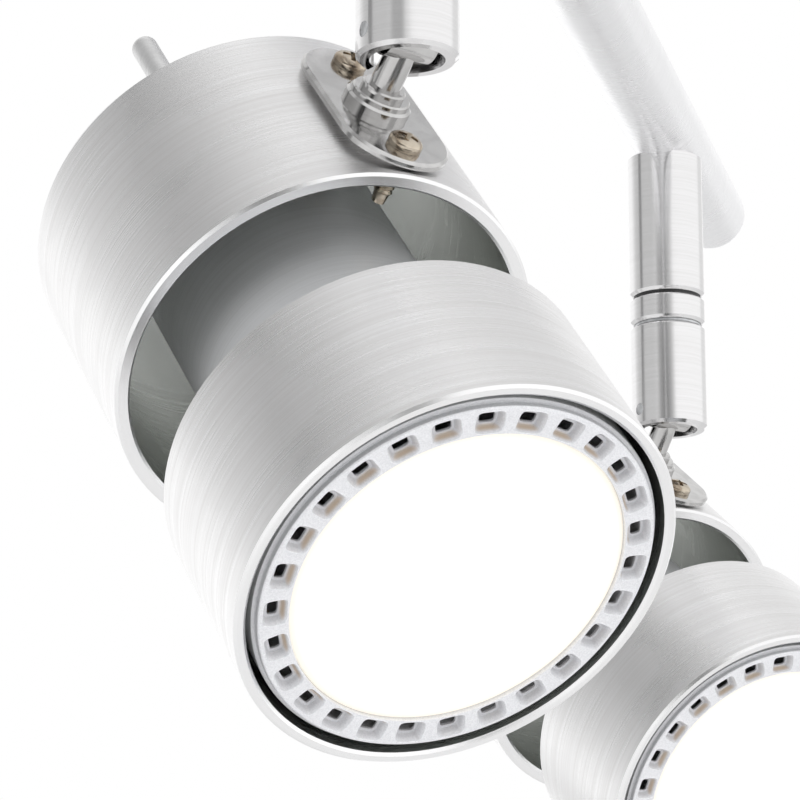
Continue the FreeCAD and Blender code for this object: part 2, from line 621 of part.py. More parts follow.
def swivel_barrel():
    """Turning lower part of the stem, bored and slotted for the tilting arm."""
    edge = STEM_RADIUS - STEM_CHAMFER
    bore_top = BARREL_BOTTOM + BARREL_BORE_DEPTH
    web_top = bore_top + BARREL_WEB
    body = spun_up([(BARREL_BOTTOM, BARREL_BORE_RADIUS), (BARREL_BOTTOM, edge),
                    (BARREL_BOTTOM + STEM_CHAMFER, STEM_RADIUS), (BARREL_TOP - STEM_CHAMFER, STEM_RADIUS),
                    (BARREL_TOP, edge), (BARREL_TOP, SPINDLE_RADIUS), (web_top, SPINDLE_RADIUS),
                    (web_top, WIRE_BORE_RADIUS), (bore_top, WIRE_BORE_RADIUS),
                    (bore_top, BARREL_BORE_RADIUS)])
    half = PIN_RADIUS + LOOSE_GAP
    body = body.cut(block(Vector(-2 * STEM_RADIUS, -half, BARREL_BOTTOM - OVERCUT), Vector(0, half, 0)))
    body = body.cut(rod(half, Vector(-2 * STEM_RADIUS, 0, 0), Vector()))
    return body.cut(rod(AXLE_RADIUS, Vector(0, -2 * STEM_RADIUS, 0), Vector(0, 2 * STEM_RADIUS, 0)))


def swivel_spindle():
    """Hollow shaft that the barrel turns on; its flange makes the lower groove."""
    foot = BARREL_BOTTOM + BARREL_BORE_DEPTH + BARREL_WEB
    flange_top = COLLAR_BOTTOM - FACE_GAP
    step = BUSH_TOP + FACE_GAP
    return spun_up([(foot, STUD_LEAD_BORE), (foot, SPINDLE_RADIUS), (BARREL_TOP, SPINDLE_RADIUS),
                    (BARREL_TOP, GROOVE_RADIUS), (flange_top, GROOVE_RADIUS), (flange_top, SPINDLE_RADIUS),
                    (step, SPINDLE_RADIUS), (step, SPINDLE_TAIL_RADIUS), (SPINDLE_TOP, SPINDLE_TAIL_RADIUS),
                    (SPINDLE_TOP, STUD_LEAD_BORE)])


def friction_washer():
    """Spring washer that keeps the barrel where it is turned."""
    low = Vector(0, 0, BUSH_TOP + FACE_GAP)
    high = low + Vector(0, 0, WASHER_THICKNESS)
    return rod(SPINDLE_NUT_CORNER, low, high).cut(rod(SPINDLE_TAIL_RADIUS, low, high))


def spindle_nut():
    """Nut at the top of the spindle."""
    low = Vector(0, 0, NUT_BOTTOM)
    high = low + Vector(0, 0, SPINDLE_NUT_HEIGHT)
    return hexagon(SPINDLE_NUT_CORNER * math.sqrt(3), low, high).cut(rod(SPINDLE_TAIL_RADIUS, low, high))


def tilt_axle():
    """Cross pin that the arm tilts on."""
    return rod(AXLE_RADIUS, Vector(0, -AXLE_LENGTH / 2, 0), Vector(0, AXLE_LENGTH / 2, 0))


# --- Head pieces ------------------------------------------------------------------------------------
def tilt_arm():
    """Eye, pin, stepped collar and threaded spigot in one turned and cross-bored piece."""
    collar_low = BOSS_TOP + SHOULDER_HEIGHT
    collar_top = collar_low + ARM_COLLAR_HEIGHT
    shank = spun_up([(SPIGOT_TIP, 0), (SPIGOT_TIP, SPIGOT_RADIUS), (BOSS_TOP, SPIGOT_RADIUS),
                     (BOSS_TOP, SHOULDER_RADIUS), (collar_low - ARM_EDGE_CHAMFER, SHOULDER_RADIUS),
                     (collar_low, SHOULDER_RADIUS - ARM_EDGE_CHAMFER), (collar_low, COLLAR_RADIUS),
                     (collar_top - ARM_EDGE_CHAMFER, COLLAR_RADIUS),
                     (collar_top, COLLAR_RADIUS - ARM_EDGE_CHAMFER),
                     (collar_top, PIN_RADIUS), (0, PIN_RADIUS), (0, 0)])
    eye = rod(EYE_RADIUS, Vector(0, -EYE_WIDTH / 2, 0), Vector(0, EYE_WIDTH / 2, 0))
    arm = shank.fuse(eye)
    arm = arm.cut(rod(AXLE_RADIUS + RUNNING_GAP, Vector(0, -EYE_WIDTH, 0), Vector(0, EYE_WIDTH, 0)))
    return arm.cut(rod(ARM_BORE_RADIUS, Vector(0, 0, SPIGOT_TIP - OVERCUT), Vector(0, 0, -EYE_RADIUS)))


def saddle_plate():
    """Round-ended plate on a pad that fits the cup, with a boss for the arm."""
    foot = -(ARM_REACH + HEAD_RADIUS) / 2
    slab = stadium(SADDLE_LENGTH, SADDLE_WIDTH, SADDLE_TOP - SADDLE_LIP_THICKNESS, SADDLE_TOP)
    top_edges = [edge for edge in slab.Edges if abs(edge.BoundBox.ZMin - SADDLE_TOP) < SAME_PLACE]
    slab = slab.makeChamfer(SADDLE_CHAMFER, top_edges)
    root = SADDLE_TOP - SADDLE_CHAMFER
    pad = stadium(SADDLE_LENGTH - 2 * SADDLE_LIP, SADDLE_WIDTH - 2 * SADDLE_LIP, foot, root)
    boss = spun_up([(root, 0), (root, BOSS_RADIUS), (BOSS_TOP - BOSS_CHAMFER, BOSS_RADIUS),
                    (BOSS_TOP, BOSS_RADIUS - BOSS_CHAMFER), (BOSS_TOP, 0)])
    plate = slab.multiFuse([pad, boss]).removeSplitter()
    plate = plate.cut(rod(HEAD_RADIUS, on_lamp(CUP_BACK + CUP_LENGTH), on_lamp(0)))
    for place in saddle_holes():
        plate = plate.cut(rod(SADDLE_SCREW_RADIUS, place + Vector(0, 0, foot), place))
    return plate.cut(rod(SPIGOT_RADIUS, Vector(0, 0, foot), Vector()))


def saddle_holes():
    """Where the saddle screws stand, at the height of the tilt axle."""
    return [Vector(side * SADDLE_SCREW_SPACING / 2, 0, 0) for side in (-1, 1)]


def saddle_screws():
    """Two pan-head screws through the saddle into the cup."""
    screw = pan_head_screw(SADDLE_SCREW_RADIUS, SADDLE_SCREW_LENGTH, SADDLE_SCREW_HEAD_RADIUS,
                           SADDLE_SCREW_HEAD_HEIGHT)
    return Part.makeCompound([screw.translated(place + Vector(0, 0, SADDLE_TOP)) for place in saddle_holes()])


def arm_nut():
    """Nut on the arm's spigot, inside the cup."""
    high = Vector(0, 0, ARM_NUT_TOP)
    low = high - Vector(0, 0, ARM_NUT_HEIGHT)
    return hexagon(ARM_NUT_FLATS, low, high).cut(rod(SPIGOT_RADIUS, low, high))


def rear_cup():
    """Rear shell, open to the front, with its floor set in from the back rim."""
    edge = HEAD_RADIUS - RIM_CHAMFER
    bore_edge = CUP_BORE_RADIUS + RIM_CHAMFER
    cup = spun_on_lamp([(FLOOR_FRONT, 0), (FLOOR_FRONT, CUP_BORE_RADIUS),
                        (CUP_FRONT + RIM_CHAMFER, CUP_BORE_RADIUS),
                        (CUP_FRONT, bore_edge), (CUP_FRONT, edge), (CUP_FRONT + RIM_CHAMFER, HEAD_RADIUS),
                        (CUP_BACK - RIM_CHAMFER, HEAD_RADIUS), (CUP_BACK, edge), (CUP_BACK, bore_edge),
                        (CUP_BACK - RIM_CHAMFER, CUP_BORE_RADIUS), (FLOOR_BACK, CUP_BORE_RADIUS),
                        (FLOOR_BACK, 0)])
    for place in saddle_holes():
        cup = cup.cut(rod(SADDLE_SCREW_RADIUS, place - Vector(0, 0, ARM_REACH + 2 * CUP_WALL), place))
    cup = cup.cut(rod(SPIGOT_RADIUS, Vector(0, 0, -ARM_REACH - 2 * CUP_WALL), Vector()))
    for side in (-1, 1):
        place = side * REAR_SCREW_OFFSET
        cup = cup.cut(rod(REAR_SCREW_RADIUS, on_lamp(CUP_BACK, 0, place), on_lamp(CUP_FRONT, 0, place)))
    return cup.cut(rod(PEG_SPIGOT_RADIUS, on_lamp(CUP_BACK, PEG_UP, PEG_SIDE),
                       on_lamp(CUP_FRONT, PEG_UP, PEG_SIDE)))


def neck_tube():
    """Tube that joins ring and cup and hides the lampholder."""
    front_of_ring_back = RING_LENGTH - RING_BACK
    neck = spun_on_lamp([(front_of_ring_back, NECK_BORE_RADIUS), (front_of_ring_back, NECK_SPIGOT_RADIUS),
                         (RING_LENGTH, NECK_SPIGOT_RADIUS), (RING_LENGTH, NECK_RADIUS),
                         (FLOOR_FRONT, NECK_RADIUS),
                         (FLOOR_FRONT, NECK_FLANGE_HOLE), (NECK_FLANGE_FRONT, NECK_FLANGE_HOLE),
                         (NECK_FLANGE_FRONT, NECK_BORE_RADIUS)])
    for side in (-1, 1):
        place = side * REAR_SCREW_OFFSET
        neck = neck.cut(rod(REAR_SCREW_RADIUS, on_lamp(CUP_BACK, 0, place), on_lamp(HOLDER_BACK, 0, place)))
    return neck.cut(rod(NECK_SIDE_HOLE, on_lamp(SIDE_HOLE_BACK), on_lamp(SIDE_HOLE_BACK, HEAD_RADIUS)))


def front_ring():
    """Front shell around the lamp, with a back wall that seats on the neck."""
    edge = HEAD_RADIUS - RIM_CHAMFER
    inside = RING_LENGTH - RING_BACK
    return spun_on_lamp([(0, RING_BORE_RADIUS + RIM_CHAMFER), (0, edge), (RIM_CHAMFER, HEAD_RADIUS),
                         (RING_LENGTH - RIM_CHAMFER, HEAD_RADIUS), (RING_LENGTH, edge),
                         (RING_LENGTH, NECK_SPIGOT_RADIUS), (inside, NECK_SPIGOT_RADIUS),
                         (inside, RING_BORE_RADIUS), (RIM_CHAMFER, RING_BORE_RADIUS)])


def aiming_peg():
    """Round-ended peg at the back, to turn the head without touching the lamp."""
    tip = FLOOR_BACK + PEG_LENGTH
    base = rod(PEG_RADIUS, on_lamp(FLOOR_BACK, PEG_UP, PEG_SIDE), on_lamp(tip, PEG_UP, PEG_SIDE))
    tip_x = SADDLE_BACK - tip
    tip_edges = [edge for edge in base.Edges if edge.BoundBox.XMax < tip_x + SAME_PLACE]
    base = base.makeFillet(PEG_ROUND, tip_edges)
    spigot = rod(PEG_SPIGOT_RADIUS, on_lamp(FLOOR_BACK, PEG_UP, PEG_SIDE),
                 on_lamp(FLOOR_FRONT, PEG_UP, PEG_SIDE))
    return base.fuse(spigot)


def rear_screws():
    """Two screws from behind that clamp cup, neck and lampholder."""
    screw = pan_head_screw(REAR_SCREW_RADIUS, REAR_SCREW_LENGTH,
                           REAR_SCREW_HEAD_RADIUS, REAR_SCREW_HEAD_HEIGHT)
    screw = screw.rotated(Vector(), ACROSS, -90)
    sides = (-REAR_SCREW_OFFSET, REAR_SCREW_OFFSET)
    return Part.makeCompound([screw.translated(on_lamp(FLOOR_BACK, 0, side)) for side in sides])


def arc_pocket(half_width, near_back, far_back):
    """Cutter for a curved slot that starts at a lamp pin and runs through the twist."""
    pitch = PIN_SPACING / 2
    low, high = pitch - half_width, pitch + half_width
    centre = on_lamp(0)
    corners = [(near_back, low), (near_back, high), (far_back, high), (far_back, low)]
    outline = [on_lamp(back, 0, side) for back, side in corners]
    band = Part.Face(Part.makePolygon(outline + [outline[0]])).revolve(centre, ALONG, TWIST_ANGLE)
    start = rod(half_width, on_lamp(near_back, 0, pitch), on_lamp(far_back, 0, pitch))
    end = start.rotated(centre, ALONG, TWIST_ANGLE)
    return band.multiFuse([start, end])


def lampholder():
    """Round holder with two keyhole slots for the lamp's pins and two feet behind."""
    holder = rod(HOLDER_RADIUS, on_lamp(HOLDER_BACK), on_lamp(HOLDER_FRONT))
    feet = []
    for side in (-REAR_SCREW_OFFSET, REAR_SCREW_OFFSET):
        feet.append(rod(HOLDER_FOOT_RADIUS, on_lamp(NECK_FLANGE_FRONT, 0, side),
                        on_lamp(HOLDER_BACK - OVERCUT, 0, side)))
    holder = holder.multiFuse(feet)
    inside = HOLDER_FRONT + HOLDER_FRONT_WALL
    narrow = arc_pocket(CONTACT_RADIUS + LOOSE_GAP, HOLDER_FRONT - OVERCUT, inside + OVERCUT)
    wide = arc_pocket(CONTACT_HEAD_RADIUS + LOOSE_GAP, inside, HOLDER_FRONT + HOLDER_POCKET_DEPTH)
    pitch = PIN_SPACING / 2
    entry = rod(CONTACT_HEAD_RADIUS + LOOSE_GAP, on_lamp(HOLDER_FRONT - OVERCUT, 0, pitch),
                on_lamp(inside + OVERCUT, 0, pitch))
    entry = entry.rotated(on_lamp(0), ALONG, TWIST_ANGLE)
    for cutter in (narrow, wide, entry):
        for turn in (0, 180):
            holder = holder.cut(cutter.rotated(on_lamp(0), ALONG, turn))
    for side in (-REAR_SCREW_OFFSET, REAR_SCREW_OFFSET):
        tip = FLOOR_BACK - REAR_SCREW_LENGTH
        holder = holder.cut(rod(REAR_SCREW_RADIUS, on_lamp(CUP_BACK, 0, side), on_lamp(tip, 0, side)))
    return holder


def head_leads():
    """The same two leads inside the head, from the arm's spigot to the back of the lampholder."""
    start_z = SPIGOT_TIP - LOOSE_GAP
    neck_top = NECK_RADIUS - AXIS_DROP
    gap = (start_z - neck_top) / 2
    middle_z = HEAD_LEAD_RISE - AXIS_DROP
    side_x = SADDLE_BACK - SIDE_HOLE_BACK
    leads = []
    for row in (-1, 1):
        side = row * LEAD_OFFSET
        leads.append(swept_lead([Vector(0, side, start_z), Vector(0, side, start_z - gap),
                                 Vector(side_x, side, neck_top + gap / 2), Vector(side_x, side, middle_z),
                                 Vector(SADDLE_BACK - HOLDER_BACK, side, middle_z)], HEAD_LEAD_BEND))
    return Part.makeCompound(leads)


# --- Lamp pieces ------------------------------------------------------------------------------------
def lamp_housing():
    """Die-cast lamp body with a ring of vents around its face."""
    inner_cone = LAMP_BODY_RADIUS - LAMP_WALL
    inner_skirt = LAMP_RADIUS - LAMP_WALL
    body = spun_on_lamp([(0, DIFFUSER_RADIUS), (0, LAMP_RADIUS), (LAMP_SKIRT, LAMP_RADIUS),
                         (LAMP_CONE_END, LAMP_BODY_RADIUS), (LAMP_BODY_END, LAMP_BODY_RADIUS),
                         (LAMP_BODY_END, inner_cone), (LAMP_CONE_END - LAMP_WALL, inner_cone),
                         (LAMP_SKIRT - LAMP_WALL, inner_skirt), (LAMP_WALL, inner_skirt),
                         (LAMP_WALL, DIFFUSER_RADIUS)])
    low = on_lamp(2 * LAMP_WALL, VENT_MIDDLE_RADIUS - VENT_LENGTH / 2, -VENT_WIDTH / 2)
    high = on_lamp(-LAMP_WALL, VENT_MIDDLE_RADIUS + VENT_LENGTH / 2, VENT_WIDTH / 2)
    vent = block(low, high)
    vents = [vent.rotated(on_lamp(0), ALONG, 360 * step / VENT_COUNT) for step in range(VENT_COUNT)]
    return body.cut(Part.makeCompound(vents))


def lamp_diffuser():
    """Frosted disc in the lamp's face."""
    back = DIFFUSER_SET_IN + DIFFUSER_THICKNESS
    return rod(DIFFUSER_RADIUS, on_lamp(back), on_lamp(DIFFUSER_SET_IN))


def lamp_base():
    """Moulded base that closes the lamp body and carries the pins."""
    collar_end = LAMP_BODY_END + LAMP_BASE_COLLAR
    plug = LAMP_BODY_RADIUS - LAMP_WALL
    return spun_on_lamp([(LAMP_BODY_END - LAMP_BASE_PLUG, 0), (LAMP_BODY_END - LAMP_BASE_PLUG, plug),
                         (LAMP_BODY_END, plug), (LAMP_BODY_END, LAMP_BODY_RADIUS),
                         (collar_end, LAMP_BODY_RADIUS),
                         (collar_end, LAMP_BASE_RADIUS), (LAMP_LENGTH, LAMP_BASE_RADIUS), (LAMP_LENGTH, 0)])


def lamp_pins():
    """Two mushroom-headed contact pins."""
    head_start = LAMP_LENGTH + CONTACT_LENGTH
    pins = []
    for side in (-PIN_SPACING / 2, PIN_SPACING / 2):
        neck = rod(CONTACT_RADIUS, on_lamp(head_start, 0, side), on_lamp(LAMP_LENGTH, 0, side))
        head = rod(CONTACT_HEAD_RADIUS, on_lamp(head_start + CONTACT_HEAD_LENGTH, 0, side),
                   on_lamp(head_start, 0, side))
        pins.append(neck.fuse(head))
    return Part.makeCompound(pins)


# --- Write every piece ------------------------------------------------------------------------------
def save(name, shape):
    shape.exportStep("parts/%s.step" % name)
    facts = (name, len(shape.Solids), shape.Volume, shape.isValid())
    print("%-24s solids %d  volume %9.1f  valid %s" % facts)


CEILING_PIECES = {
    "mounting_plate": mounting_plate, "entry_grommet": entry_grommet, "canopy_cover": canopy_cover,
    "canopy_screws": canopy_screws, "canopy_posts": canopy_posts, "post_nuts": post_nuts,
    "support_bar": support_bar, "bar_end_caps": bar_end_caps, "terminal_block": terminal_block,
    "terminal_screws": terminal_screws, "supply_leads": supply_leads,
}
SEATED_PIECES = {"stem_sleeve": stem_sleeve}
STEM_PIECES = {
    "stem_stud": stem_stud, "pivot_bush": pivot_bush, "swivel_collar": swivel_collar,
    "swivel_barrel": swivel_barrel, "swivel_spindle": swivel_spindle, "friction_washer": friction_washer,
    "spindle_nut": spindle_nut, "tilt_axle": tilt_axle,
}
HEAD_PIECES = {
    "tilt_arm": tilt_arm, "saddle_plate": saddle_plate, "saddle_screws": saddle_screws, "arm_nut": arm_nut,
    "rear_cup": rear_cup, "neck_tube": neck_tube, "front_ring": front_ring, "aiming_peg": aiming_peg,
    "rear_screws": rear_screws, "lampholder": lampholder, "head_leads": head_leads,
    "lamp_housing": lamp_housing, "lamp_diffuser": lamp_diffuser, "lamp_base": lamp_base,
    "lamp_pins": lamp_pins,
}

for name, make in CEILING_PIECES.items():
    save(name, make())
for head in HEADS:
    for name, make in SEATED_PIECES.items():
        save("%s_%s" % (name, head), seated(from_stem(make(), head)))
    for name, make in STEM_PIECES.items():
        save("%s_%s" % (name, head), from_stem(make(), head))
    for name, make in HEAD_PIECES.items():
        save("%s_%s" % (name, head), from_head(make(), head))
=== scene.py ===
# %% [markdown]
# # A two-head ceiling spotlight bar
# The object is a short round bar under a ceiling canopy. Two stems hang from it, and each carries a head of
# turned aluminium: a front ring round the lamp, a thin neck, and a rear cup with a chromed saddle on top.
# The engineering model gives every solid, so this lesson is about finishes first, and about the few pieces
# that need more detail than an engineering model carries: the lamp's vented face, its frosted disc and the
# screws. Everything is in metres and shares the engineering model's frame.

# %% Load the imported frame
import json
import math

import bmesh
import bpy
from mathutils import Matrix, Vector


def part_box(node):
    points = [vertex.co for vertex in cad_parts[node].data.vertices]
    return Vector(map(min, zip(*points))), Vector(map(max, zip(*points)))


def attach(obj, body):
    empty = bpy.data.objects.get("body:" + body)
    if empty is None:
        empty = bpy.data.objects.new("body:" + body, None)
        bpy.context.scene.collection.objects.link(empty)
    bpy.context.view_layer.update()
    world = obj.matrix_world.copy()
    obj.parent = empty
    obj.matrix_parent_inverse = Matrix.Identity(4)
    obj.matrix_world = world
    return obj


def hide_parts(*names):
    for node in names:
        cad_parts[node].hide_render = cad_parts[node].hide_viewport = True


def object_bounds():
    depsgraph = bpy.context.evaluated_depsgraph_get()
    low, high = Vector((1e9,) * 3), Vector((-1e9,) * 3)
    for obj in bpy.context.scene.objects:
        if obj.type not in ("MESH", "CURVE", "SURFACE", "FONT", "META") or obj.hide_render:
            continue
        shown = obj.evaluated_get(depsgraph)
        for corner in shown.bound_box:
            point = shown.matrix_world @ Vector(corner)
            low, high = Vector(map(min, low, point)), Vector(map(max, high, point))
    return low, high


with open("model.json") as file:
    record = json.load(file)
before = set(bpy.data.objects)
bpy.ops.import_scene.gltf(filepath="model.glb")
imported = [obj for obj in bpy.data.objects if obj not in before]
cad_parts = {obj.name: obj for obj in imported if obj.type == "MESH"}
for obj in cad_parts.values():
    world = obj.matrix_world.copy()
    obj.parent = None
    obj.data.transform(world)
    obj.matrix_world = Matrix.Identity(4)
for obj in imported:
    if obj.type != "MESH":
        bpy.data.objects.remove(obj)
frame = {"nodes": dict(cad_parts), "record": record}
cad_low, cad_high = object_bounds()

MM = 0.001
HEADS = ("near", "far")
nodes = frame["nodes"]
joints = {joint["name"]: joint for joint in frame["record"]["behaviour"]["joints"]}

# %% [markdown]
# ## Where each head points
# A head is turned and tilted, so nothing on it lines up with the world's axes. One matrix for each head
# takes a point from the head's own space into the model's: its Z runs out of the lamp, its X lies along
# the tilt axle, and its origin is the middle of the front rim. The joints give all of that, so a head that
# is aimed another way in the engineering model needs no new numbers here.

# %% Head spaces and engineering nodes
def head_space(head):
    """Matrix from a head's own space into the model's, read from its joints and its front ring."""
    forward = Vector(joints["lamp_twist_" + head]["axis"]).normalized()
    across = Vector(joints["tilt_" + head]["axis"]).normalized()
    on_axis = Vector(joints["lamp_twist_" + head]["pos_m"])
    ring = nodes["front_ring_" + head].data.vertices
    reach = max((vertex.co - on_axis).dot(forward) for vertex in ring)
    turn = Matrix((across, forward.cross(across), forward)).transposed().to_4x4()
    return Matrix.Translation(on_axis + forward * reach) @ turn


def paint(material, *pieces):
    """Puts a material on engineering nodes."""
    for piece in pieces:
        nodes[piece].data.materials[0] = material


head_spaces = {head: head_space(head) for head in HEADS}
for head, space in head_spaces.items():
    print(head, "head's rim centre in mm:", [round(value / MM, 1) for value in space.translation])

# %% [markdown]
# ## Node helpers
# Procedural materials are wired in code, and the same moves come up each time: add a node with its
# settings, set or link an input, blend, emboss, and wrap a useful effect as a group. Small helpers keep
# the material cells readable.

# %% Node helpers
def set_inputs(tree, node, values):
    """Gives inputs, by name or index, a socket to link from or a plain value."""
    for key, value in values.items():
        if isinstance(value, bpy.types.NodeSocket):
            tree.links.new(value, node.inputs[key])
        else:
            node.inputs[key].default_value = value


def add(tree, kind, values=None, **settings):
    """Adds a node with its settings and the values of its inputs."""
    node = tree.nodes.new(kind)
    for key, value in settings.items():
        setattr(node, key, value)
    set_inputs(tree, node, values or {})
    return node


def math_node(tree, operation, first, second=0.0):
    """One Math node's output."""
    return add(tree, "ShaderNodeMath", {0: first, 1: second}, operation=operation).outputs[0]


def dot_product(tree, first, second):
    """Dot product of two directions."""
    return add(tree, "ShaderNodeVectorMath", {0: first, 1: second}, operation="DOT_PRODUCT").outputs["Value"]


def spread(tree, value, low, high, new_low, new_high):
    """Takes a value from one range to another, smoothly and without leaving it."""
    ranged = add(tree, "ShaderNodeMapRange", {"Value": value, "From Min": low, "From Max": high,
                 "To Min": new_low, "To Max": new_high}, interpolation_type="SMOOTHSTEP", clamp=True)
    return ranged.outputs["Result"]


def blend_values(tree, factor, first, second):
    """Value between two, by a factor. A Mix node keeps its value sockets at these places."""
    return add(tree, "ShaderNodeMix", {0: factor, 2: first, 3: second}, data_type="FLOAT").outputs[0]


def blend_colours(tree, factor, first, second):
    """Colour between two, by a factor. A Mix node keeps its colour sockets at these places."""
    return add(tree, "ShaderNodeMix", {0: factor, 6: first, 7: second}, data_type="RGBA").outputs[2]


def distance_from_axis(tree, place):
    """Distance of a local point from the local Z axis."""
    split = add(tree, "ShaderNodeSeparateXYZ", {0: place})
    flat = add(tree, "ShaderNodeCombineXYZ", {0: split.outputs[0], 1: split.outputs[1]})
    return add(tree, "ShaderNodeVectorMath", {0: flat.outputs[0]}, operation="LENGTH").outputs["Value"]


def object_place(tree):
    """The surface's own coordinates."""
    return add(tree, "ShaderNodeTexCoord").outputs["Object"]


def emboss(tree, shader, height, strength, depth):
    """Bumps a shader's surface by a height. depth is in millimetres."""
    relief = add(tree, "ShaderNodeBump", {"Height": height, "Strength": strength, "Distance": depth * MM})
    tree.links.new(relief.outputs[0], shader.inputs["Normal"])


def new_group(name, values, masks):
    """Shader group from a place and named values to named masks, with its input and output nodes."""
    group = bpy.data.node_groups.new(name, "ShaderNodeTree")
    group.interface.new_socket("Vector", in_out="INPUT", socket_type="NodeSocketVector")
    for label, value in values.items():
        socket = group.interface.new_socket(label, in_out="INPUT", socket_type="NodeSocketFloat")
        socket.default_value = value
    for label in masks:
        group.interface.new_socket(label, in_out="OUTPUT", socket_type="NodeSocketFloat")
    return group, group.nodes.new("NodeGroupInput"), group.nodes.new("NodeGroupOutput")


def use_group(tree, group, values):
    """Places a shader group in a material."""
    return add(tree, "ShaderNodeGroup", values, node_tree=group)


# %% [markdown]
# ## Turning lines
# A lathe leaves thousands of fine rings on a turned shell, and an abrasive pad breaks them into streaks.
# A wave texture would make them too even. Here noise is squeezed along the axis and stretched round it.
# On an end face the rings lie at different radii instead, so the squeezed direction is axis plus radius.

# %% Group: turning lines
FINE_LINES = (1.0, 4.0)      # share of the lines' number, and the noise's detail
COARSE_LINES = (0.13, 3.0)
FINE_SHARE = 0.7             # the fine lines' part in the tone


def turning_lines_group():
    """Streaks round the local Z axis, as a height and as a slower tone."""
    group, given, result = new_group("turning lines", {"Lines": 5000.0, "Streak": 60.0}, ("Height", "Tone"))
    split = add(group, "ShaderNodeSeparateXYZ", {0: given.outputs["Vector"]})
    along = math_node(group, "ADD", split.outputs[2], distance_from_axis(group, given.outputs["Vector"]))
    found = []
    for share, detail in (FINE_LINES, COARSE_LINES):
        lines = math_node(group, "MULTIPLY", given.outputs["Lines"], share)
        streak = math_node(group, "MULTIPLY", given.outputs["Streak"], math.sqrt(share))
        place = add(group, "ShaderNodeCombineXYZ", {
            0: math_node(group, "MULTIPLY", split.outputs[0], streak),
            1: math_node(group, "MULTIPLY", split.outputs[1], streak),
            2: math_node(group, "MULTIPLY", along, lines)})
        noise = add(group, "ShaderNodeTexNoise", {
            "Vector": place.outputs[0], "Scale": 1.0, "Detail": detail, "Roughness": 0.62}, normalize=True)
        found.append(noise.outputs["Fac"])
    both = math_node(group, "ADD", math_node(group, "MULTIPLY", found[0], FINE_SHARE),
                     math_node(group, "MULTIPLY", found[1], 1.0 - FINE_SHARE))
    set_inputs(group, result, {"Height": found[0], "Tone": both})
    return group


turning_lines = turning_lines_group()
print("group:", turning_lines.name)

# %% [markdown]
# ## Casting grain
# Silver paint on a pressure casting shows a fine orange-peel grain. Two sizes of noise give it: one for
# the skin and a finer one for the metal flakes in the paint.

# %% Group: casting grain
FLAKE_SCALE = 1.9            # flakes to one grain of the skin


def casting_grain_group():
    """Fine even grain, as a height and as a mask of flakes."""
    group, given, result = new_group("casting grain", {"Scale": 4000.0}, ("Height", "Flakes"))
    place = given.outputs["Vector"]
    skin = add(group, "ShaderNodeTexNoise", {"Vector": place, "Scale": given.outputs["Scale"],
               "Detail": 2.0, "Roughness": 0.5})
    finer = math_node(group, "MULTIPLY", given.outputs["Scale"], FLAKE_SCALE)
    flakes = add(group, "ShaderNodeTexVoronoi", {"Vector": place, "Scale": finer})
    shade = add(group, "ShaderNodeSeparateColor", {0: flakes.outputs["Color"]})
    set_inputs(group, result, {"Height": skin.outputs["Fac"], "Flakes": shade.outputs[0]})
    return group


casting_grain = casting_grain_group()
print("group:", casting_grain.name)

# %% [markdown]
# ## Handling marks
# No metal leaves a workshop perfectly even: fingers and cloths leave wide soft patches that are a little
# duller. The group gives a slow mask, which each material adds to its roughness by its own amount.

# %% Group: handling marks
PATCH_RANGE = (0.35, 0.7)    # noise at which a patch starts and is full


def handling_group():
    """Slow soft patches, from 0 to 1."""
    group, given, result = new_group("handling marks", {"Size": 90.0}, ("Mask",))
    patches = add(group, "ShaderNodeTexNoise", {
        "Vector": given.outputs["Vector"], "Scale": given.outputs["Size"],
        "Detail": 3.0, "Roughness": 0.5, "Distortion": 0.6})
    set_inputs(group, result, {"Mask": spread(group, patches.outputs["Fac"], *PATCH_RANGE, 0.0, 1.0)})
    return group


handling = handling_group()
print("group:", handling.name)

# %% [markdown]
# ## Turned metal
# The same material serves the heads, the bar and the stems: only its space, its colours and its polish
# differ. Anisotropy stretches reflections across the lines, which is what makes turned metal look like
# turned metal. It needs a tangent that runs round the axis, and a point's own coordinates give that
# without a UV map: the direction at right angles to the way out from the axis. A turned rim is cut with a
# finer tool than the wall, so faces that look along the axis are smoother and brighter.

# %% Material: turned metal
RIM_FACING = (0.25, 0.6)     # how far a surface looks along the axis where a rim starts and is full
RIM_TONE = 0.8
LINE_DEPTH = 0.02            # millimetres
TONE_RANGE = (0.3, 0.7)
DULL_SHARE = 1.2             # roughness in the dark lines and in the light ones
BRIGHT_SHARE = 0.85
# painted shade for the walls inside a shell
BORE_SHADE_COLOUR = (0.47, 0.49, 0.46, 1)


def start_material(name):
    """New material, its tree and its Principled shader."""
    made = bpy.data.materials.new(name)
    made.use_nodes = True
    return made, made.node_tree, made.node_tree.nodes["Principled BSDF"]


def local_vector(tree, space):
    """Object coordinates taken into a piece's own space."""
    mapped = add(tree, "ShaderNodeMapping", {"Vector": object_place(tree), "Location": space.translation,
                 "Rotation": space.to_euler()}, vector_type="TEXTURE")
    return mapped.outputs["Vector"]


def world_direction(tree, direction):
    """A direction in the object's space, taken into the world's."""
    return add(tree, "ShaderNodeVectorTransform", {0: direction}, vector_type="VECTOR",
               convert_from="OBJECT", convert_to="WORLD").outputs[0]


def round_tangent(tree, place, space):
    """World direction that runs round the local Z axis at a local point."""
    split = add(tree, "ShaderNodeSeparateXYZ", {0: place})
    backwards = math_node(tree, "MULTIPLY", split.outputs[1], -1.0)
    local = add(tree, "ShaderNodeCombineXYZ", {0: backwards, 1: split.outputs[0]}).outputs[0]
    turned = add(tree, "ShaderNodeMapping", {"Vector": local, "Rotation": space.to_euler()},
                 vector_type="VECTOR")
    world = world_direction(tree, turned.outputs[0])
    return add(tree, "ShaderNodeVectorMath", {0: world}, operation="NORMALIZE").outputs[0]


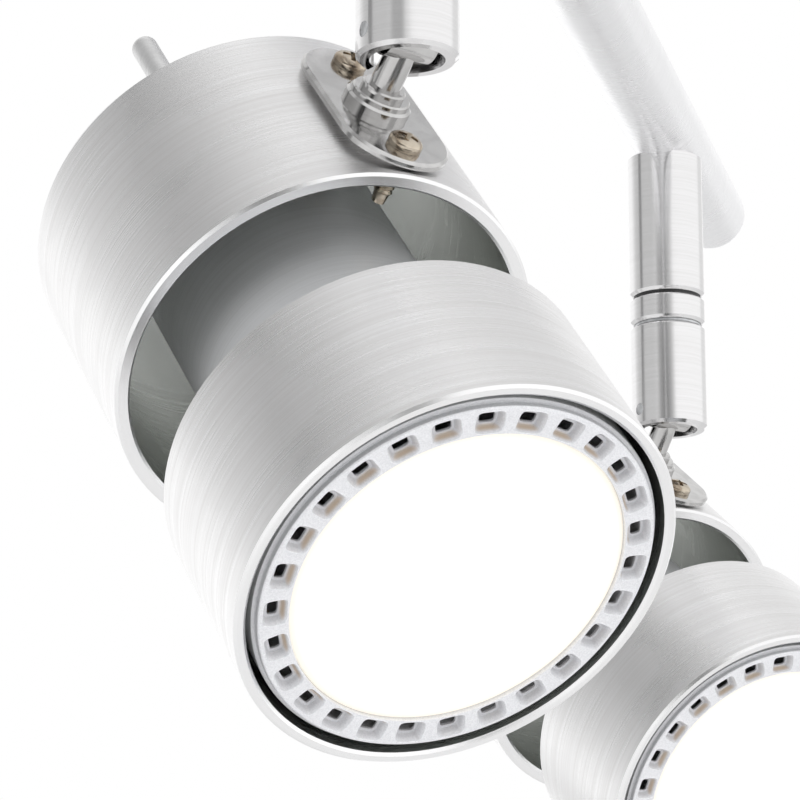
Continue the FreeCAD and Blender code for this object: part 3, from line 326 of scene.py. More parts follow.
def rim_mask(tree, space):
    """1 where the surface looks along the local Z axis, as a rim does, and 0 on a wall."""
    surface = add(tree, "ShaderNodeNewGeometry").outputs["Normal"]
    axis = world_direction(tree, space.col[2].to_3d())
    return spread(tree, math_node(tree, "ABSOLUTE", dot_product(tree, surface, axis)), *RIM_FACING, 0.0, 1.0)


def bore_shade_mask(tree, place, rim, bore):
    """1 on the walls between two distances from the local Z axis, where a painted shade goes."""
    radius = distance_from_axis(tree, place)
    between = math_node(tree, "MULTIPLY", math_node(tree, "GREATER_THAN", radius, bore[0]),
                        math_node(tree, "LESS_THAN", radius, bore[1]))
    return math_node(tree, "MULTIPLY", between, math_node(tree, "SUBTRACT", 1.0, rim))


def turned_metal(name, space, dark, light, roughness, line_size, streak, bump, anisotropy, patches=0.05,
                 rim_roughness=None, bore=None, metallic=1.0):
    """Metal with fine rings round the space's Z axis. Walls between bore's two radii get a darker painted
    shade.
    """
    made, tree, shader = start_material(name)
    place = local_vector(tree, space)
    lines = use_group(tree, turning_lines, {"Vector": place, "Lines": 1 / line_size, "Streak": 1 / streak})
    marks = use_group(tree, handling, {"Vector": place})
    rim = rim_mask(tree, space)
    tone = spread(tree, lines.outputs["Tone"], *TONE_RANGE, 0.0, 1.0)
    tone = math_node(tree, "MAXIMUM", tone, math_node(tree, "MULTIPLY", rim, RIM_TONE))
    colour = blend_colours(tree, tone, (*dark, 1), (*light, 1))
    # painted shade on the walls inside the shell
    if bore:
        colour = blend_colours(tree, bore_shade_mask(tree, place, rim, bore), colour, BORE_SHADE_COLOUR)
    polish = spread(tree, lines.outputs["Tone"], *TONE_RANGE,
                    roughness * DULL_SHARE, roughness * BRIGHT_SHARE)
    wall = math_node(tree, "ADD", polish, math_node(tree, "MULTIPLY", marks.outputs["Mask"], patches))
    emboss(tree, shader, lines.outputs["Height"], bump, LINE_DEPTH)
    set_inputs(tree, shader, {
        "Base Color": colour, "Roughness": blend_values(tree, rim, wall, rim_roughness or roughness),
        "Tangent": round_tangent(tree, place, space), "Metallic": metallic, "Anisotropic": anisotropy})
    return made


# %% [markdown]
# ## Aluminium heads
# Both heads are clear-anodised aluminium with a lathe finish. Each gets its own copy of the material,
# because the rings have to run round that head's own axis. Inside, the shells carry a painted shade: a
# wall between the two radii of the shells' bores takes a darker painted shade colour.

# %% Material: aluminium heads
SHELL_BORES = (17 * MM, 25.95 * MM)
for head, space in head_spaces.items():
    aluminium = turned_metal(
        "turned_aluminium_" + head, space, dark=(0.82, 0.81, 0.805), light=(0.94, 0.94, 0.945),
        roughness=0.27, line_size=0.12 * MM, streak=60 * MM, bump=0.3, anisotropy=0.7, rim_roughness=0.2,
        bore=SHELL_BORES)
    polished = turned_metal(
        "polished_neck_" + head, space, dark=(0.86, 0.87, 0.88), light=(0.94, 0.95, 0.97),
        roughness=0.4, line_size=0.2 * MM, streak=40 * MM, bump=0.2, anisotropy=0.6, metallic=0.55)
    paint(aluminium, "front_ring_" + head, "rear_cup_" + head)
    paint(polished, "neck_tube_" + head)
    print("aluminium:", aluminium.name, polished.name)

# %% [markdown]
# ## Chromed stems
# The stems are polished and chromed, so what is seen on them is the room. Only a breath of turning lines
# is left. Their axis is vertical, through each head's pan joint.

# %% Material: chromed stems
def upright_space(point):
    """Space whose Z is vertical, through a point."""
    return Matrix.Translation(Vector(point))


for head in HEADS:
    chrome = turned_metal(
        "chromed_stem_" + head, upright_space(joints["pan_" + head]["pos_m"]), dark=(0.78, 0.775, 0.775),
        light=(0.84, 0.835, 0.84), roughness=0.15, line_size=0.3 * MM, streak=30 * MM, bump=0.02,
        anisotropy=0.2, patches=0.03, rim_roughness=0.1)
    paint(chrome, "stem_sleeve_" + head, "swivel_collar_" + head, "swivel_barrel_" + head)
print("stems done")

# %% [markdown]
# ## Satin bar and canopy
# The bar is drawn tube with a satin nickel finish, brushed round. The canopy and its posts have the same
# finish, spun about the vertical.

# %% Material: satin bar, canopy and posts
bar_low, bar_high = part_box("support_bar")
bar_middle = (bar_low + bar_high) / 2
bar_space = Matrix.Translation(bar_middle) @ Matrix.Rotation(math.pi / 2, 4, "Y")
satin_bar = turned_metal("satin_bar", bar_space, dark=(0.90, 0.90, 0.91), light=(0.94, 0.94, 0.95),
                         roughness=0.27, line_size=0.25 * MM, streak=20 * MM, bump=0.06, anisotropy=0.35)
satin_canopy = turned_metal("satin_canopy", upright_space((0, 0, 0)), dark=(0.83, 0.83, 0.84),
                            light=(0.92, 0.92, 0.93), roughness=0.27, line_size=0.3 * MM, streak=50 * MM,
                            bump=0.1, anisotropy=0.5, rim_roughness=0.26)
paint(satin_bar, "support_bar", "bar_end_caps")
paint(satin_canopy, "canopy_cover", "canopy_posts")
print("bar length in mm:", round((bar_high.x - bar_low.x) / MM, 1))

# %% [markdown]
# ## Mirror chrome
# Saddle, boss and arm are buffed by hand before chroming, which leaves a very slight waviness. It bends
# reflections without dulling them, so it goes into the bump and not into the roughness.

# %% Material: mirror chrome
CHROME_BRIGHT = (0.62, 0.615, 0.61, 1)
CHROME_DULL = (0.52, 0.515, 0.51, 1)


def mirror_chrome(name):
    """Hand-buffed chrome."""
    made, tree, shader = start_material(name)
    place = object_place(tree)
    marks = use_group(tree, handling, {"Vector": place, "Size": 260.0}).outputs["Mask"]
    waves = add(tree, "ShaderNodeTexNoise", {
        "Vector": place, "Scale": 220.0, "Detail": 2.0, "Roughness": 0.4})
    emboss(tree, shader, waves.outputs["Fac"], 0.3, 0.02)
    set_inputs(tree, shader, {"Base Color": blend_colours(tree, marks, CHROME_BRIGHT, CHROME_DULL),
                              "Roughness": spread(tree, marks, 0.0, 1.0, 0.09, 0.16), "Metallic": 1.0})
    return made


saddle_chrome = mirror_chrome("mirror_chrome")
for head in HEADS:
    paint(saddle_chrome, "saddle_plate_" + head, "tilt_arm_" + head)
print("chrome done")

# %% [markdown]
# ## Small hardware, plastics and leads
# These are seen through gaps or not at all, but each still gets the right surface: plated steel with a
# cloudy tone, nickelled brass with darker, browner clouds, and plastics with a fine
# moulded skin.

# %% Material: plated metal and plastic
CLOUD_DULLING = 1.6          # roughness of plating in a cloud
CLOUD_DARKENING = 0.93       # colour of plastic in a cloud
GRAIN_RANGE = (0.2, 0.8)     # the grain's usual lowest and highest
GRAIN_LOW = 0.9              # roughness of plastic there
GRAIN_HIGH = 1.15


def plated_metal(name, colour, shade, roughness, grain=900.0):
    """Plated fastener metal with a cloudy tone, duller where it is darker."""
    made, tree, shader = start_material(name)
    place = object_place(tree)
    cloud = use_group(tree, handling, {"Vector": place, "Size": grain}).outputs["Mask"]
    skin = use_group(tree, casting_grain, {"Vector": place, "Scale": 5000.0})
    emboss(tree, shader, skin.outputs["Height"], 0.2, 0.02)
    set_inputs(tree, shader, {
        "Base Color": blend_colours(tree, cloud, (*colour, 1), (*shade, 1)),
        "Roughness": spread(tree, cloud, 0.0, 1.0, roughness, roughness * CLOUD_DULLING), "Metallic": 1.0})
    return made


def moulded_plastic(name, colour, roughness, grain=2500.0):
    """Plastic with a fine moulded skin."""
    made, tree, shader = start_material(name)
    place = object_place(tree)
    skin = use_group(tree, casting_grain, {"Vector": place, "Scale": grain}).outputs["Height"]
    cloud = use_group(tree, handling, {"Vector": place, "Size": 150.0}).outputs["Mask"]
    darker = tuple(part * CLOUD_DARKENING for part in colour)
    emboss(tree, shader, skin, 0.3, 0.03)
    set_inputs(tree, shader, {
        "Base Color": blend_colours(tree, cloud, (*colour, 1), (*darker, 1)),
        "Roughness": spread(tree, skin, *GRAIN_RANGE, roughness * GRAIN_LOW, roughness * GRAIN_HIGH)})
    return made


zinc = plated_metal("zinc_plated_steel", (0.66, 0.67, 0.68), (0.52, 0.53, 0.54), 0.30)
pale_brass = plated_metal("nickelled_brass", (0.62, 0.55, 0.45), (0.34, 0.27, 0.20), 0.16, grain=500.0)
pin_metal = plated_metal("contact_nickel", (0.78, 0.74, 0.66), (0.62, 0.58, 0.50), 0.22)
black_plastic = moulded_plastic("black_bearing_plastic", (0.02, 0.02, 0.02), 0.45)
black_rubber = moulded_plastic("black_rubber", (0.03, 0.03, 0.03), 0.7)
white_plastic = moulded_plastic("off_white_plastic", (0.80, 0.79, 0.75), 0.45)
lead_plastic = moulded_plastic("lead_insulation", (0.72, 0.72, 0.70), 0.38)
FIXTURE_FINISH = {"mounting_plate": zinc, "post_nuts": zinc, "terminal_screws": zinc,
                  "terminal_block": white_plastic, "entry_grommet": black_rubber,
                  "supply_leads": lead_plastic}
HEAD_FINISH = {"stem_stud": zinc, "swivel_spindle": zinc, "friction_washer": zinc, "spindle_nut": zinc,
               "tilt_axle": zinc, "arm_nut": zinc, "pivot_bush": black_plastic, "lampholder": white_plastic,
               "lamp_base": white_plastic, "head_leads": lead_plastic, "lamp_pins": pin_metal}
for piece, finish in FIXTURE_FINISH.items():
    paint(finish, piece)
for piece, finish in HEAD_FINISH.items():
    paint(finish, *(piece + "_" + head for head in HEADS))
print("small finishes:", len(FIXTURE_FINISH) + len(HEAD_FINISH))

# %% [markdown]
# ## Mesh helpers
# A turned piece is an outline swept round an axis. Building the rings directly keeps full control of the
# outline, closes the piece at its poles, and costs nothing but two loops. Outlines are written as pairs of
# radius and depth behind the front, in millimetres, as a lathe operator would.

# %% Mesh helpers
SMOOTH_ANGLE = math.radians(32)


def new_object(name, data):
    """New object in the scene."""
    made = bpy.data.objects.new(name, data)
    bpy.context.scene.collection.objects.link(made)
    return made


def plain_mesh(made, name):
    """Mesh of a bmesh, which is freed."""
    mesh = bpy.data.meshes.new(name)
    made.to_mesh(mesh)
    made.free()
    return mesh


def finish_mesh(name, mesh, space, material):
    """Moves a mesh from its own space into the model's, smooths it and makes its object."""
    mesh.transform(space)
    mesh.materials.clear()
    mesh.materials.append(material)
    mesh.shade_smooth()
    mesh.set_sharp_from_angle(angle=SMOOTH_ANGLE)
    return new_object(name, mesh)


def turned_mesh(name, outline, steps, closed=True):
    """Mesh of an outline of (radius, depth) pairs in millimetres, swept round the local Z axis."""
    made = bmesh.new()
    rings = []
    for radius, depth in outline:
        reach = radius * MM
        turns = [2 * math.pi * step / steps for step in range(steps if radius else 1)]
        rings.append([made.verts.new((reach * math.cos(turn), reach * math.sin(turn), -depth * MM))
                      for turn in turns])
    pairs = list(zip(rings, rings[1:]))
    if closed:
        pairs.append((rings[-1], rings[0]))
    for first, second in pairs:
        if len(first) == 1 and len(second) == 1:
            continue
        for step in range(steps):
            ahead = (step + 1) % steps
            corners = (first[step % len(first)], first[ahead % len(first)],
                       second[ahead % len(second)], second[step % len(second)])
            made.faces.new(dict.fromkeys(corners))    # a pole comes twice and is kept once
    bmesh.ops.recalc_face_normals(made, faces=made.faces)
    return plain_mesh(made, name)


def joined_mesh(name, meshes, merge):
    """One mesh of several, with matching edges merged and its faces pointing outwards."""
    made = bmesh.new()
    for mesh in meshes:
        made.from_mesh(mesh)
        bpy.data.meshes.remove(mesh)
    bmesh.ops.remove_doubles(made, verts=made.verts, dist=merge)
    bmesh.ops.recalc_face_normals(made, faces=made.faces)
    open_edges = sum(1 for edge in made.edges if not edge.is_manifold)
    result = plain_mesh(made, name)
    print(name, "has", len(result.polygons), "faces and", open_edges, "open edges")
    return result


# %% [markdown]
# ## Painted lamp
# The lamp is a pressure casting in silver paint. Its face is a ring of square pockets, each with a small
# slot through its floor that lets air past the light source behind.

# %% Material: silver paint
FLAKE_DARK = (0.78, 0.785, 0.81, 1)
FLAKE_LIGHT = (0.89, 0.895, 0.92, 1)
# painted shade laid into the pockets, darker the deeper they go
POCKET_PAINTED_SHADE = (0.50, 0.50, 0.52, 1)
# painted glow: the warm colour the disc's light would give the pocket walls
POCKET_PAINTED_GLOW = (0.60, 0.47, 0.34, 1)
# heights at which the pockets' painted shade and painted glow are full and gone
SUNK_HEIGHTS = (-0.8 * MM, -0.1 * MM)     # a pocket's shade is full at the first and gone at the second
PAINTED_GLOW_FROM = 20.85 * MM                    # distances from the lamp's axis
PAINTED_GLOW_FADE = (21.2 * MM, 21.7 * MM)


def silver_paint(name, space):
    """Silver paint on a cast skin, with a painted shade in the pockets and a painted warm glow on their walls
    where the disc shines through.
    """
    made, tree, shader = start_material(name)
    grain = use_group(tree, casting_grain, {"Vector": object_place(tree), "Scale": 3600.0})
    colour = blend_colours(tree, grain.outputs["Flakes"], FLAKE_DARK, FLAKE_LIGHT)
    local = local_vector(tree, space)
    radius = distance_from_axis(tree, local)
    height = add(tree, "ShaderNodeSeparateXYZ", {0: local}).outputs[2]
    sunk_shade_and_glow = spread(tree, height, *SUNK_HEIGHTS, 1.0, 0.0)
    # painted glow: pocket walls next to the disc turn warm, as if lit by it
    beside = math_node(tree, "MULTIPLY", spread(tree, radius, *PAINTED_GLOW_FADE, 1.0, 0.0),
                       math_node(tree, "GREATER_THAN", radius, PAINTED_GLOW_FROM))
    painted_glow = math_node(tree, "MULTIPLY", sunk_shade_and_glow, beside)
    # painted shade: the pockets' floors and walls are darkened by depth
    colour = blend_colours(tree, math_node(tree, "MULTIPLY", sunk_shade_and_glow, 0.5), colour, POCKET_PAINTED_SHADE)
    emboss(tree, shader, grain.outputs["Height"], 0.5, 0.08)
    set_inputs(tree, shader, {
        "Base Color": blend_colours(tree, painted_glow, colour, POCKET_PAINTED_GLOW),
        "Roughness": spread(tree, grain.outputs["Flakes"], 0.0, 1.0, 0.5, 0.38), "Metallic": 0.35})
    return made


lamp_paint = {head: silver_paint("silver_lamp_paint_" + head, space) for head, space in head_spaces.items()}
print("paint done")

# %% [markdown]
# ## One vent, then twenty-seven
# The vents repeat by a rule, so one cell is modelled and Geometry Nodes turns it round the axis. The cell
# is a wedge of the face with a pocket in it: loops of matching points run from the wedge's edge to the
# pocket's lip, down its sloping walls, over its floor and through the slot. Because the wedge's two sides
# are mirror images, neighbours meet point for point and merge into one closed skin.

# %% Vent cell
VENT_COUNT = 27
ARC_STEPS = 8                # points of one wedge's arc, and so of the turned parts that meet it
SIDE_STEPS = 6
FACE_INNER = 20.75           # millimetres, as are all sizes of the lamp below
FACE_OUTER = 24.15
VENT_INNER = 21.0
VENT_OUTER = 23.85
VENT_HALF_WIDTH = 1.72
POCKET_DEPTH = 1.05
SLOT_DEPTH = 1.4
SLOT_HALF_LONG = 0.44 * (VENT_OUTER - VENT_INNER) / 2
SLOT_HALF_WIDTH = 0.56 * VENT_HALF_WIDTH
SLOT_EDGE = 1.06             # the slot's broken edge: how much wider, and how deep
SLOT_EDGE_DEPTH = 0.08
SQUARE = 5                   # corners, rounder for a lower number
SOFT_SQUARE = 4.5
# the pocket's lip: depth, and what is added to its half length and half width
LIP = [(0.0, 0.17, 0.24), (-0.06, 0.10, 0.15), (0.0, 0.03, 0.06), (0.16, -0.02, 0.0)]
# its walls: height above the floor, and the share of its half length and half width that is left
WALLS = [(0.25, 0.78, 0.82), (0.0, 0.70, 0.75)]


def walk_round(corners):
    """Points along a loop of four corners, at matching steps for every such loop."""
    points = []
    for start, end, steps in zip(corners, corners[1:] + corners[:1], (ARC_STEPS, SIDE_STEPS) * 2):
        for step in range(steps):
            points.append([first + (last - first) * step / steps for first, last in zip(start, end)])
    return points


def wedge_loop(inner, outer, half_turn):
    """Points round a wedge of the face, from one corner on."""
    polar = walk_round([(outer, -half_turn), (outer, half_turn), (inner, half_turn), (inner, -half_turn)])
    return [(radius * math.cos(turn), radius * math.sin(turn)) for radius, turn in polar]


def rounded_loop(middle, half_long, half_wide, sharpness):
    """Rounded rectangle with the wedge loop's point count, its corners rounder for a lower sharpness."""
    points = []
    for x, y in walk_round([(1, -1), (1, 1), (-1, 1), (-1, -1)]):
        pull = (abs(x) ** sharpness + abs(y) ** sharpness) ** (1 / sharpness)
        points.append((middle + half_long * x / pull, half_wide * y / pull))
    return points


def vent_levels():
    """Depth and points of each loop of one vent, from its face to its back."""
    half_turn = math.pi / VENT_COUNT
    middle = (VENT_INNER + VENT_OUTER) / 2
    half_long = (VENT_OUTER - VENT_INNER) / 2
    edge = wedge_loop(FACE_INNER, FACE_OUTER, half_turn)
    slot = rounded_loop(middle, SLOT_HALF_LONG, SLOT_HALF_WIDTH, SQUARE)
    slot_edge = rounded_loop(middle, SLOT_HALF_LONG * SLOT_EDGE, SLOT_HALF_WIDTH * SLOT_EDGE, SQUARE)
    lip = [(depth, rounded_loop(middle, half_long + longer, VENT_HALF_WIDTH + wider, SQUARE))
           for depth, longer, wider in LIP]
    walls = [(POCKET_DEPTH - height,
              rounded_loop(middle, half_long * long_share, VENT_HALF_WIDTH * wide_share, SOFT_SQUARE))
             for height, long_share, wide_share in WALLS]
    return [(0.0, edge), *lip, *walls, (POCKET_DEPTH, slot_edge), (POCKET_DEPTH + SLOT_EDGE_DEPTH, slot),
            (SLOT_DEPTH, slot), (SLOT_DEPTH, edge)]


def vent_cell():
    """Mesh of one vent, in the head's own space."""
    made = bmesh.new()
    loops = [[made.verts.new((x * MM, y * MM, -depth * MM)) for x, y in points]
             for depth, points in vent_levels()]
    for first, second in zip(loops, loops[1:]):
        for step in range(len(first)):
            ahead = (step + 1) % len(first)
            made.faces.new((first[step], first[ahead], second[ahead], second[step]))
    return plain_mesh(made, "vent_cell")


# %% [markdown]
# ## A ring by Geometry Nodes
# The tree makes as many points as there are cells, sets a copy on each, and turns each copy by its own
# index. Real geometry comes out with its material, so the result can be merged with the turned parts.

# %% Geometry Nodes: a ring of cells
def geometry_tree(name, inputs):
    """Tree with geometry in and out, its input and output nodes, and the identifiers of its other inputs."""
    tree = bpy.data.node_groups.new(name, "GeometryNodeTree")
    tree.interface.new_socket("Geometry", in_out="INPUT", socket_type="NodeSocketGeometry")
    found = {label: tree.interface.new_socket(label, in_out="INPUT", socket_type=kind).identifier
             for label, kind in inputs.items()}
    tree.interface.new_socket("Geometry", in_out="OUTPUT", socket_type="NodeSocketGeometry")
    return tree, tree.nodes.new("NodeGroupInput"), tree.nodes.new("NodeGroupOutput"), found


def realized(tree, copies, given, result):
    """Ends a tree: instances become real geometry with the tree's own finish."""
    real = add(tree, "GeometryNodeRealizeInstances", {0: copies.outputs[0]})
    painted = add(tree, "GeometryNodeSetMaterial", {
        "Geometry": real.outputs[0], "Material": given.outputs["Finish"]})
    tree.links.new(painted.outputs[0], result.inputs[0])


def cell_ring_tree():
    """Tree that turns copies of its geometry round the Z axis and makes them one mesh."""
    tree, given, result, sockets = geometry_tree("ring of cells", {
        "Count": "NodeSocketInt", "Finish": "NodeSocketMaterial"})
    points = add(tree, "GeometryNodePoints", {"Count": given.outputs["Count"]})
    one_step = math_node(tree, "DIVIDE", 2 * math.pi, given.outputs["Count"])
    turn = math_node(tree, "MULTIPLY", add(tree, "GeometryNodeInputIndex").outputs[0], one_step)
    rotation = add(tree, "ShaderNodeCombineXYZ", {"Z": turn})
    copies = add(tree, "GeometryNodeInstanceOnPoints", {
        "Points": points.outputs[0], "Instance": given.outputs["Geometry"], "Rotation": rotation.outputs[0]})
    realized(tree, copies, given, result)
    return tree, sockets


def evaluated_mesh(source, name):
    """Plain mesh of an object with its modifiers, and the object removed."""
    graph = bpy.context.evaluated_depsgraph_get()
    mesh = bpy.data.meshes.new_from_object(source.evaluated_get(graph))
    mesh.name = name
    bpy.data.objects.remove(source)
    return mesh


def run_tree(source, name, tree, sockets, values):
    """Mesh that a tree makes of an object, which is removed."""
    modifier = source.modifiers.new("made", "NODES")
    modifier.node_group = tree
    for label, value in values.items():
        modifier[sockets[label]] = value
    return evaluated_mesh(source, name)


def ring_of(cell, count, material):
    """Mesh of a cell repeated round the Z axis."""
    tree, sockets = cell_ring_tree()
    return run_tree(new_object("ring_source", cell), "vent_ring", tree, sockets,
                    {"Count": count, "Finish": material})


# %% [markdown]
# ## Lamp body
# The rest of the casting is turned, with as many steps round as the vent ring has points, so that both
# merge. The outline runs from the face's outer edge over its bevel, down the step and the skirt, along the
# cone to the socket end, and back inside to the seat of the frosted disc.

# %% Lamp body
LAMP_STEPS = VENT_COUNT * ARC_STEPS
LAMP_OUTLINE = [
    (FACE_OUTER, 0.0), (24.32, 0.05), (24.45, 0.2), (24.48, 0.85), (24.56, 0.95), (24.82, 0.97),
    (24.95, 1.05), (25.0, 1.2), (25.0, 8.6), (24.8, 9.2), (14.3, 21.0), (13.85, 21.9), (13.8, 22.6),
    (13.8, 44.0), (12.3, 44.0), (12.3, 20.6), (22.9, 8.4), (23.3, 7.4), (23.3, SLOT_DEPTH + 0.4),
    (FACE_OUTER, SLOT_DEPTH)]
MERGE = 0.004 * MM           # farthest that matching points of ring and turned parts lie apart


def lamp_body_mesh():
    """Outer and inner skin of the casting, open where the vent ring goes."""
    skin = turned_mesh("lamp_skin", LAMP_OUTLINE, LAMP_STEPS, closed=False)
    seat = turned_mesh("lamp_seat", [(FACE_INNER, SLOT_DEPTH), (FACE_INNER, 0.0)], LAMP_STEPS, closed=False)
    half_step = Matrix.Rotation(-math.pi / VENT_COUNT, 4, "Z")
    skin.transform(half_step)
    seat.transform(half_step)
    vents = ring_of(vent_cell(), VENT_COUNT, lamp_paint["near"])
    return joined_mesh("lamp_casting", [skin, seat, vents], MERGE)


casting_master = lamp_body_mesh()
for head in HEADS:
    casting = finish_mesh("lamp_casting_" + head, casting_master.copy(), head_spaces[head], lamp_paint[head])
    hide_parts("lamp_housing_" + head)
    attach(casting, "lamp_" + head)

# %% [markdown]
# ## Frosted disc
# The disc is moulded acrylic with a very slight crown and a soft edge. It glows: the light source behind
# spreads evenly, and only the last millimetre turns warmer and weaker. The glow is emission whose colour
# and strength follow the distance from the lamp's axis.

# %% Frosted disc
DISC_RADIUS = 20.72
DISC_BACK_DEPTH = 1.5        # nothing behind this depth glows, so the pockets stay dark inside
DISC_OUTLINE = [(0, 0.0), (8.0, 0.02), (15.0, 0.1), (18.5, 0.2), (20.1, 0.32), (20.5, 0.42), (20.68, 0.62),
                (DISC_RADIUS, 0.9), (DISC_RADIUS, 2.1), (0, 2.1)]
GLOW = (1.0, 1.0, 0.99, 1)
EDGE_GLOW = (0.64, 0.60, 0.52, 1)
EDGE_FROM = 0.84             # share of the radius at which the glow starts to fade
FROST_COLOUR = (0.42, 0.41, 0.39, 1)


def glowing_disc(name, space):
    """Lit frosted plastic, warmer at its edge."""
    made, tree, shader = start_material(name)
    place = local_vector(tree, space)
    height = add(tree, "ShaderNodeSeparateXYZ", {0: place}).outputs[2]
    reach = DISC_RADIUS * MM
    edge = spread(tree, distance_from_axis(tree, place), EDGE_FROM * reach, reach, 0.0, 1.0)
    front = math_node(tree, "GREATER_THAN", height, -DISC_BACK_DEPTH * MM)
    frost = use_group(tree, casting_grain, {"Vector": place, "Scale": 2500.0}).outputs["Height"]
    emboss(tree, shader, frost, 0.15, 0.03)
    set_inputs(tree, shader, {
        "Emission Color": blend_colours(tree, edge, GLOW, EDGE_GLOW), "Emission Strength": front,
        "Base Color": FROST_COLOUR, "Roughness": spread(tree, frost, *GRAIN_RANGE, 0.45, 0.6)})
    return made


for head, space in head_spaces.items():
    disc_mesh = turned_mesh("frosted_disc", DISC_OUTLINE, LAMP_STEPS)
    disc = finish_mesh("frosted_disc_" + head, disc_mesh, space, glowing_disc("glowing_frost_" + head, space))
    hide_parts("lamp_diffuser_" + head)
    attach(disc, "lamp_" + head)
print("discs done")

# %% [markdown]
# ## Pan head screws
# One screw is modelled for each size: a turned head with a soft dome, a tapered cross recess cut by a
# boolean, and a threaded shank. Geometry Nodes then sets a copy on each place read from the engineering
# model, turns it to its outward direction and gives it its own random turn, since no two screws stop at
# the same angle.

# %% Screw places and shape
SAME_POINT = 0.001 * MM
SCREW_STEPS = 48
DOME_STEPS = 8
DOME_FULLNESS = 0.8          # of the head's dome, fuller for a lower number
DOME_START = 0.42            # shares of the head's height: where the dome starts, and how much it rises
DOME_RISE = 0.58
HEAD_FOOT = (0.12, 0.96)     # where the head's side turns in, and its radius at the seat, as shares
THREAD_ROOT = 0.84           # shares of the shank's radius
THREAD_END = 0.8
TIP = 0.7
PITCH_SHARE = 0.32           # of the head's radius
# the cross recess: half length and half width of an arm as shares of the head's radius, then the height and
# the size of its floor and of its mouth
CROSS_ARM = (0.64, 0.15)
CROSS_LEVELS = ((0.42, 0.7), (1.2, 1.1))


def merged_islands(node, space):
    """Local corner boxes of a node's separate solids."""
    made = bmesh.new()
    made.from_mesh(node.data)
    bmesh.ops.remove_doubles(made, verts=made.verts, dist=SAME_POINT)
    inverse = space.inverted()
    waiting = dict.fromkeys(made.verts)    # keeps its order from run to run, which a set does not
    boxes = []
    while waiting:
        reached = [waiting.popitem()[0]]
        for vertex in reached:
            for edge in vertex.link_edges:
                other = edge.other_vert(vertex)
                if other in waiting:
                    del waiting[other]
                    reached.append(other)
        places = [inverse @ vertex.co for vertex in reached]
        boxes.append([Vector(pick(place[axis] for place in places) for axis in range(3))
                      for pick in (min, max)])
    made.free()
    return boxes


def screw_mesh(name, head_radius, head_height, shank_radius, length, pitch):
    """Pan head screw in millimetres, its seat at the origin and its head upwards."""
    outline = [(0, -head_height)]
    for step in range(1, DOME_STEPS + 1):
        turn = math.pi / 2 * step / DOME_STEPS
        outline.append((head_radius * math.sin(turn) ** DOME_FULLNESS,
                        -head_height * (DOME_START + DOME_RISE * math.cos(turn))))
    outline += [(head_radius, -HEAD_FOOT[0] * head_height), (head_radius * HEAD_FOOT[1], 0),
                (shank_radius, 0)]
    threads = int((length - 1.5 * pitch) / pitch)
    for thread in range(threads):
        depth = (thread + 0.5) * pitch
        outline += [(shank_radius * THREAD_ROOT, depth), (shank_radius, depth + 0.5 * pitch)]
    outline += [(shank_radius * THREAD_END, (threads + 0.5) * pitch), (shank_radius * TIP, length),
                (0, length)]
    body = new_object(name + "_body", turned_mesh(name, outline, SCREW_STEPS))
    cutter = new_object(name + "_cutter", cross_mesh(head_radius, head_height))
    cut = body.modifiers.new("recess", "BOOLEAN")
    cut.object = cutter
    cut.solver = "EXACT"
    mesh = evaluated_mesh(body, name)
    bpy.data.objects.remove(cutter)
    return mesh


def cross_mesh(head_radius, head_height):
    """Tapered cross that cuts a screw's recess."""
    wide, thin = (share * head_radius for share in CROSS_ARM)
    corners = [(wide, thin), (thin, thin), (thin, wide), (-thin, wide), (-thin, thin), (-wide, thin),
               (-wide, -thin), (-thin, -thin), (-thin, -wide), (thin, -wide), (thin, -thin), (wide, -thin)]
    made = bmesh.new()
    loops = []
    for height, share in CROSS_LEVELS:
        loops.append([made.verts.new((x * share * MM, y * share * MM, height * head_height * MM))
                      for x, y in corners])
    for step in range(len(corners)):
        ahead = (step + 1) % len(corners)
        made.faces.new((loops[0][step], loops[0][ahead], loops[1][ahead], loops[1][step]))
    made.faces.new(reversed(loops[0]))
    made.faces.new(loops[1])
    bmesh.ops.recalc_face_normals(made, faces=made.faces)
    return plain_mesh(made, "cross")


# %% [markdown]
# ## Screws by Geometry Nodes
# The places come in as a cloud of points, each with the direction its screw faces as an attribute. The tree
# aligns a copy of the screw to it, spins the copy by chance, and gives back plain geometry.

# %% Geometry Nodes: set screws on their places
def screw_tree():
    """Tree that sets a copy of a screw on each point, along its outward direction, with a random turn."""
    tree, given, result, sockets = geometry_tree("set screws", {
        "Screw": "NodeSocketObject", "Seed": "NodeSocketInt", "Finish": "NodeSocketMaterial"})
    outward = add(tree, "GeometryNodeInputNamedAttribute", {"Name": "outward"}, data_type="FLOAT_VECTOR")
    aimed = add(tree, "FunctionNodeAlignRotationToVector", {"Vector": outward.outputs[0]}, axis="Z")
    chance = add(tree, "FunctionNodeRandomValue", {"Max": 2 * math.pi, "Seed": given.outputs["Seed"]},
                 data_type="FLOAT")
    spin = add(tree, "ShaderNodeCombineXYZ", {"Z": chance.outputs["Value"]})
    turned = add(tree, "FunctionNodeRotateRotation", {
        "Rotation": aimed.outputs[0], "Rotate By": spin.outputs[0]}, rotation_space="LOCAL")
    shape = add(tree, "GeometryNodeObjectInfo", {"Object": given.outputs["Screw"]})
    copies = add(tree, "GeometryNodeInstanceOnPoints", {
        "Points": given.outputs["Geometry"], "Instance": shape.outputs["Geometry"],
        "Rotation": turned.outputs[0]})
    realized(tree, copies, given, result)
    return tree, sockets


def screw_seats(node_name, space, way, side, head_height):
    """Seat of each screw in a node, and 1 or -1 for the side its head is on. Side 0 means outwards."""
    seats = []
    for low, high in merged_islands(nodes[node_name], space):
        place = (low + high) / 2
        towards = side or math.copysign(1, place[way])
        top = high[way] if towards > 0 else low[way]
        place[way] = top - towards * head_height * MM
        seats.append((place, towards))
    return seats


